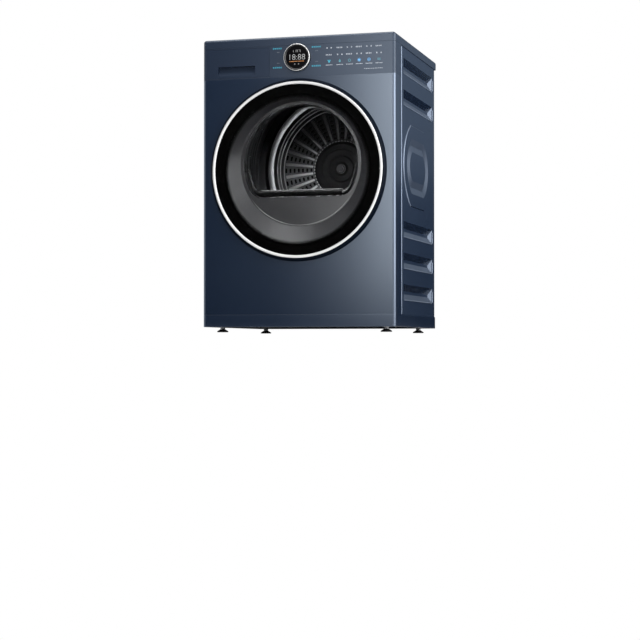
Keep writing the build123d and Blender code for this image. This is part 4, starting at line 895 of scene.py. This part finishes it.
class ControlsOperator(bpy.types.Operator):
    """Dresses the dial, its display and the printed marks of the fascia"""
    bl_idname = "dryer.controls"
    bl_label = "Controls"

    key_spots = ((-0.0635, 0.8450), (-0.0635, 0.7880), (0.0570, 0.8450), (0.0570, 0.7886))
    caption_spots = ((-0.0600, 0.8335), (-0.0600, 0.8010), (0.0590, 0.8335), (0.0590, 0.8020))
    columns = (0.0967, 0.1294, 0.1589, 0.1884, 0.2183, 0.2485)
    icons = ("shirt", "drop", "ring", "star", "fan", "bars")
    row_levels = (0.8398, 0.8194)
    icon_level, caption_level, foot_level, foot_start = 0.8006, 0.7892, 0.7738, 0.2056
    # two ways to set a programme's name in plain signs: each sign's shift and width
    names = (((-0.0065, 0.0036), (0.0065, 0.0036)),
             ((-0.0085, 0.0032), (-0.004, 0.0032), (0.001, 0.0032), (0.006, 0.0032)))

    def execute(self, context):
        controls = context.scene.dryer_controls
        finish_node("knob_ring", smooth_plastic("dial_dark", (0.012, 0.012, 0.013), 0.3, 0.4))
        finish_node("display_lens", smooth_plastic("display_gloss", (0.003, 0.003, 0.0035), 0.2, 0.1))
        self.rim(satin_silver("dial_silver", 0.62))
        self.display(controls.display_text)
        self.fascia_marks(controls.mark_colour)
        return {"FINISHED"}

    def rim(self, silver):
        """A bright rolled rim round the dial."""
        low, high, radius, level = round_of("knob_ring")
        rim = turned("dial_rim", (
            (-0.0040, 0.0012), (-0.0034, 0.0001), (-0.0020, 0), (-0.0008, 0.0006), (0, 0.0020),
            (0, 0.0034), (-0.0040, 0.0034)), radius, low.y, level, x=(low.x + high.x) / 2, segments=128)
        hand_over_as(rim, silver, "knob_ring")

    def glow(self, name, colour, strength):
        return new_material(name, shade(colour, 0.6), 0.5, Emission_Color=(*colour, 1),
                            Emission_Strength=strength)

    def words(self, text, x, z, height, thin):
        start_clean()
        bpy.ops.object.text_add(rotation=(upright, 0, 0))
        data = bpy.context.active_object.data
        data.body = text
        data.size = height
        data.offset = -thin
        data.align_x = data.align_y = "CENTER"
        bpy.ops.object.convert(target="MESH")
        word = bpy.context.active_object
        word.location = (x, 0, z)
        set_down(word)
        return word

    def display(self, text):
        low, high, _, level = round_of("display_lens")
        x = (low.x + high.x) / 2
        digits = [self.words(text, x, level - 0.0006, height=0.0245, thin=0.0005)]
        line = [flat_mark(x + step * 0.0042, level - 0.0125, 0.0030, 0.0018) for step in range(-5, 6)]
        small = [flat_mark(x + dx, level + dz, width, height) for dz, width, height, shifts in (
            (0.0175, 0.0014, 0.006, (-0.010, -0.002, 0.003, 0.011)),
            (0.0210, 0.005, 0.0012, (0.0005, 0.0085)),
            (-0.0205, 0.004, 0.0024, (-0.006, 0.006))) for dx in shifts]
        for marks, name, glow, colour, strength in (
                (digits, "display_digits", "display_white", (0.45, 0.46, 0.46), 0.30),
                (line, "display_amber_line", "display_amber", (0.60, 0.24, 0.07), 0.35),
                (small, "display_small_marks", "display_grey", (0.25, 0.25, 0.25), 0.4)):
            print_on(marks, name, low.y - print_gap, self.glow(glow, colour, strength))

    def fascia_marks(self, key_colour):
        # The captions and the programmes' names are print, yet glow faintly like the keys: painted light.
        cyan, teal, blue, white, grey = (
            self.glow("mark_" + name, colour, strength) for name, colour, strength in (
                ("cyan", key_colour, 0.55), ("teal", (0.05, 0.22, 0.27), 0.5),
                ("blue", (0.10, 0.36, 0.70), 0.6), ("white", (0.62, 0.66, 0.72), 0.35),
                ("grey", (0.25, 0.27, 0.31), 0.25)))
        # the lit keys round the dial with their captions, and the programmes' names as plain dashes
        keys, dashes = [], []
        for x, z in self.key_spots:
            for step in range(-2, 3):
                keys += self.letter(x + step * 0.0058, z, width=0.0046, height=0.0046, up=0.0012,
                                    bar=0.0012, stem=0.0011)
        captions = [flat_mark(x + shift, z, 0.0026, 0.0010)
                    for x, z in self.caption_spots for shift in (-0.003, 0.0015)]
        for row, level in enumerate(self.row_levels):
            for number, x in enumerate(self.columns):
                for shift, width in self.names[(number + row) % 2]:
                    dashes += self.letter(x + shift, level, width, height=0.0036, up=0.001, bar=0.0009,
                                          stem=0.0009)
        dashes += [flat_mark(x + shift, self.caption_level, 0.0030, 0.0014)
                   for x in self.columns for shift in (-0.0085, -0.0043, 0.0, 0.0043, 0.0085)]
        dashes += [flat_mark(self.foot_start + step * 0.0052, self.foot_level, 0.0030, 0.0013)
                   for step in range(11)]
        prints = [(captions, "key_captions", grey), (keys, "key_marks", cyan),
                  (dashes, "programme_marks", white)]
        for name, colour, kinds in (("cyan_icon", cyan, ("shirt",)),
                                    ("teal_icons", teal, ("drop", "ring", "bars")),
                                    ("blue_icons", blue, ("star", "fan"))):
            prints.append(([mark for kind in kinds for mark in self.icon(kind)], name, colour))
        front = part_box("control_fascia")[0].y - print_gap
        for marks, name, colour in prints:
            print_on(marks, name, front, colour)

    def letter(self, x, z, width, height, up, bar, stem, down=0.0012):
        """A plain sign like a capital I: a bar above, a bar below and a stem between them."""
        return [flat_mark(x, z + up, width, bar), flat_mark(x, z - down, width, bar),
                flat_mark(x, z, stem, height)]

    def icon(self, kind):
        """A plain symbol over its column's key."""
        x, z = self.columns[self.icons.index(kind)], self.icon_level
        if kind == "shirt":
            return [flat_mark(x, z - 0.0006, 0.0050, 0.0072, 0.1),
                    flat_mark(x, z + 0.0022, 0.0094, 0.0026, 0.2)]
        if kind == "drop":
            return [self.disc(x, z - 0.001, 0.0032), flat_mark(x, z + 0.0026, 0.0022, 0.0044)]
        if kind == "ring":
            return [self.ring(x, z, 0.0042, 0.0029)]
        if kind == "star":
            return [self.disc(x, z, 0.0030), self.ring(x, z, 0.0050, 0.0043)]
        if kind == "fan":
            return [self.ring(x, z, 0.0046, 0.0036), flat_mark(x, z, 0.0064, 0.0012)]
        return [flat_mark(x + dx, z, 0.0014, 0.0070 + 0.001 * dx) for dx in (-0.0032, 0.0, 0.0032)]

    def disc(self, x, z, radius):
        start_clean()
        bpy.ops.mesh.primitive_circle_add(vertices=24, radius=radius, fill_type="NGON",
                                          rotation=(upright, 0, 0), location=(x, 0, z))
        disc = bpy.context.active_object
        set_down(disc)
        return disc

    def ring(self, x, z, radius, hole):
        disc = self.disc(x, z, radius)
        edit_all()
        bpy.ops.mesh.inset(thickness=radius - hole)
        bpy.ops.mesh.delete(type="FACE")
        end_edit()
        return disc


class InnerOperator(bpy.types.Operator):
    """Finishes the inner works and the back"""
    bl_idname = "dryer.inner"
    bl_label = "Inner works and back"

    pad_height = 0.0088

    def execute(self, context):
        duct = sheet_metal("duct_sheet", (0.56, 0.57, 0.59), 0.38, grain=45.0)
        wall = sheet_metal("rear_wall_sheet", (0.50, 0.51, 0.53), 0.34, grain=60.0)
        foot = moulded_plastic("foot_rubber", (0.012, 0.012, 0.013), 0.6, 0.3)
        for metal in (duct, wall):
            self.paint_shade_inside(metal)
        self.stem(foot)
        table = (
            (wall, "rear_bulkhead"),
            (duct, "rear_duct_cover"),
            (foot, " ".join(node for node in nodes if node.startswith("foot_"))),
            (sheet_metal("zinc_sheet", (0.50, 0.51, 0.53), 0.34, grain=60.0),
             "front_bulkhead latch_hook latch_claw door_screws panel_screws roller_axles tension_arm "
             "tension_spring"),
            (sheet_metal("ground_steel", (0.6, 0.6, 0.61), 0.2), "motor_rotor"),
            (moulded_plastic("motor_enamel", (0.09, 0.09, 0.095), 0.45), "motor drum_bearing"),
            (moulded_plastic("tray_plastic", (0.011, 0.018, 0.031), 0.45),
             "base_tray process_duct_cover condensate_pump"),
            (moulded_plastic("moulded_grey", (0.16, 0.165, 0.175), 0.5),
             "tank_guide lint_filter latch_housing switch_plunger power_inlet fan_impeller "
             "idler_pulley"),
            (moulded_plastic("tank_milky", (0.40, 0.42, 0.44), 0.45), "water_tank"),
            (moulded_plastic("black_rubber", (0.012, 0.012, 0.012), 0.7, 0.3),
             "door_seal roller_left roller_right drive_belt compressor_grommets"),
            (moulded_plastic("felt", (0.35, 0.34, 0.32), 0.95, 0.1, 0.0003), "front_felt rear_felt"),
            (sheet_metal("fin_aluminium", (0.72, 0.73, 0.74), 0.3, stretch=(8, 1, 1)),
             "heat_exchangers"),
            (sheet_metal("copper_tube", (0.72, 0.36, 0.22), 0.25), "refrigerant_pipes"),
            (moulded_plastic("compressor_enamel", (0.010, 0.010, 0.010), 0.28), "compressor"),
            (moulded_plastic("board_green", (0.01, 0.10, 0.04), 0.4), "control_board"))
        for material, names in table:
            for node in names.split():
                finish_node(node, material)
        return {"FINISHED"}

    def paint_shade_inside(self, material):
        """Faces that look forward into the cabinet are painted black: painted shade inside the cabinet,
        seen through the drum's air slots.
        """
        tree = material.node_tree
        inside = calculate(tree, "LESS_THAN", component(tree, "Normal", "Y"), -0.3)
        overlay(material, "Base Color", inside, (0.004, 0.004, 0.004, 1))

    def stem(self, material):
        """Above the rubber pad the foot is zinc-plated steel."""
        tree = material.node_tree
        above = calculate(tree, "GREATER_THAN", component(tree, "Object", "Z"), self.pad_height)
        feed(material, "Metallic", above)
        overlay(material, "Base Color", above, (0.55, 0.56, 0.58, 1))


operators = (StageOperator, CabinetOperator, DoorOperator, DrumOperator, ControlsOperator, InnerOperator)


class DryerPanel(bpy.types.Panel):
    """Lists the operators and their settings"""
    bl_label = "Dryer"
    bl_idname = "VIEW3D_PT_dryer"
    bl_space_type = "VIEW_3D"
    bl_region_type = "UI"
    bl_category = "Dryer"

    def draw(self, context):
        for operator in operators:
            self.layout.operator(operator.bl_idname)
        for name in settings_names:
            settings = getattr(context.scene, name)
            for value in settings.__annotations__:
                self.layout.prop(settings, value)


def register():
    for item in (*settings_classes, *operators, DryerPanel):
        bpy.utils.register_class(item)
    for name, kind in zip(settings_names, settings_classes):
        setattr(bpy.types.Scene, name, bpy.props.PointerProperty(type=kind))


def unregister():
    for name in settings_names:
        delattr(bpy.types.Scene, name)
    for item in reversed((*settings_classes, *operators, DryerPanel)):
        bpy.utils.unregister_class(item)


def main():
    register()
    for operator in operators:
        group, name = operator.bl_idname.split(".")
        getattr(getattr(bpy.ops, group), name)()


if __name__ == "__main__":
    main()
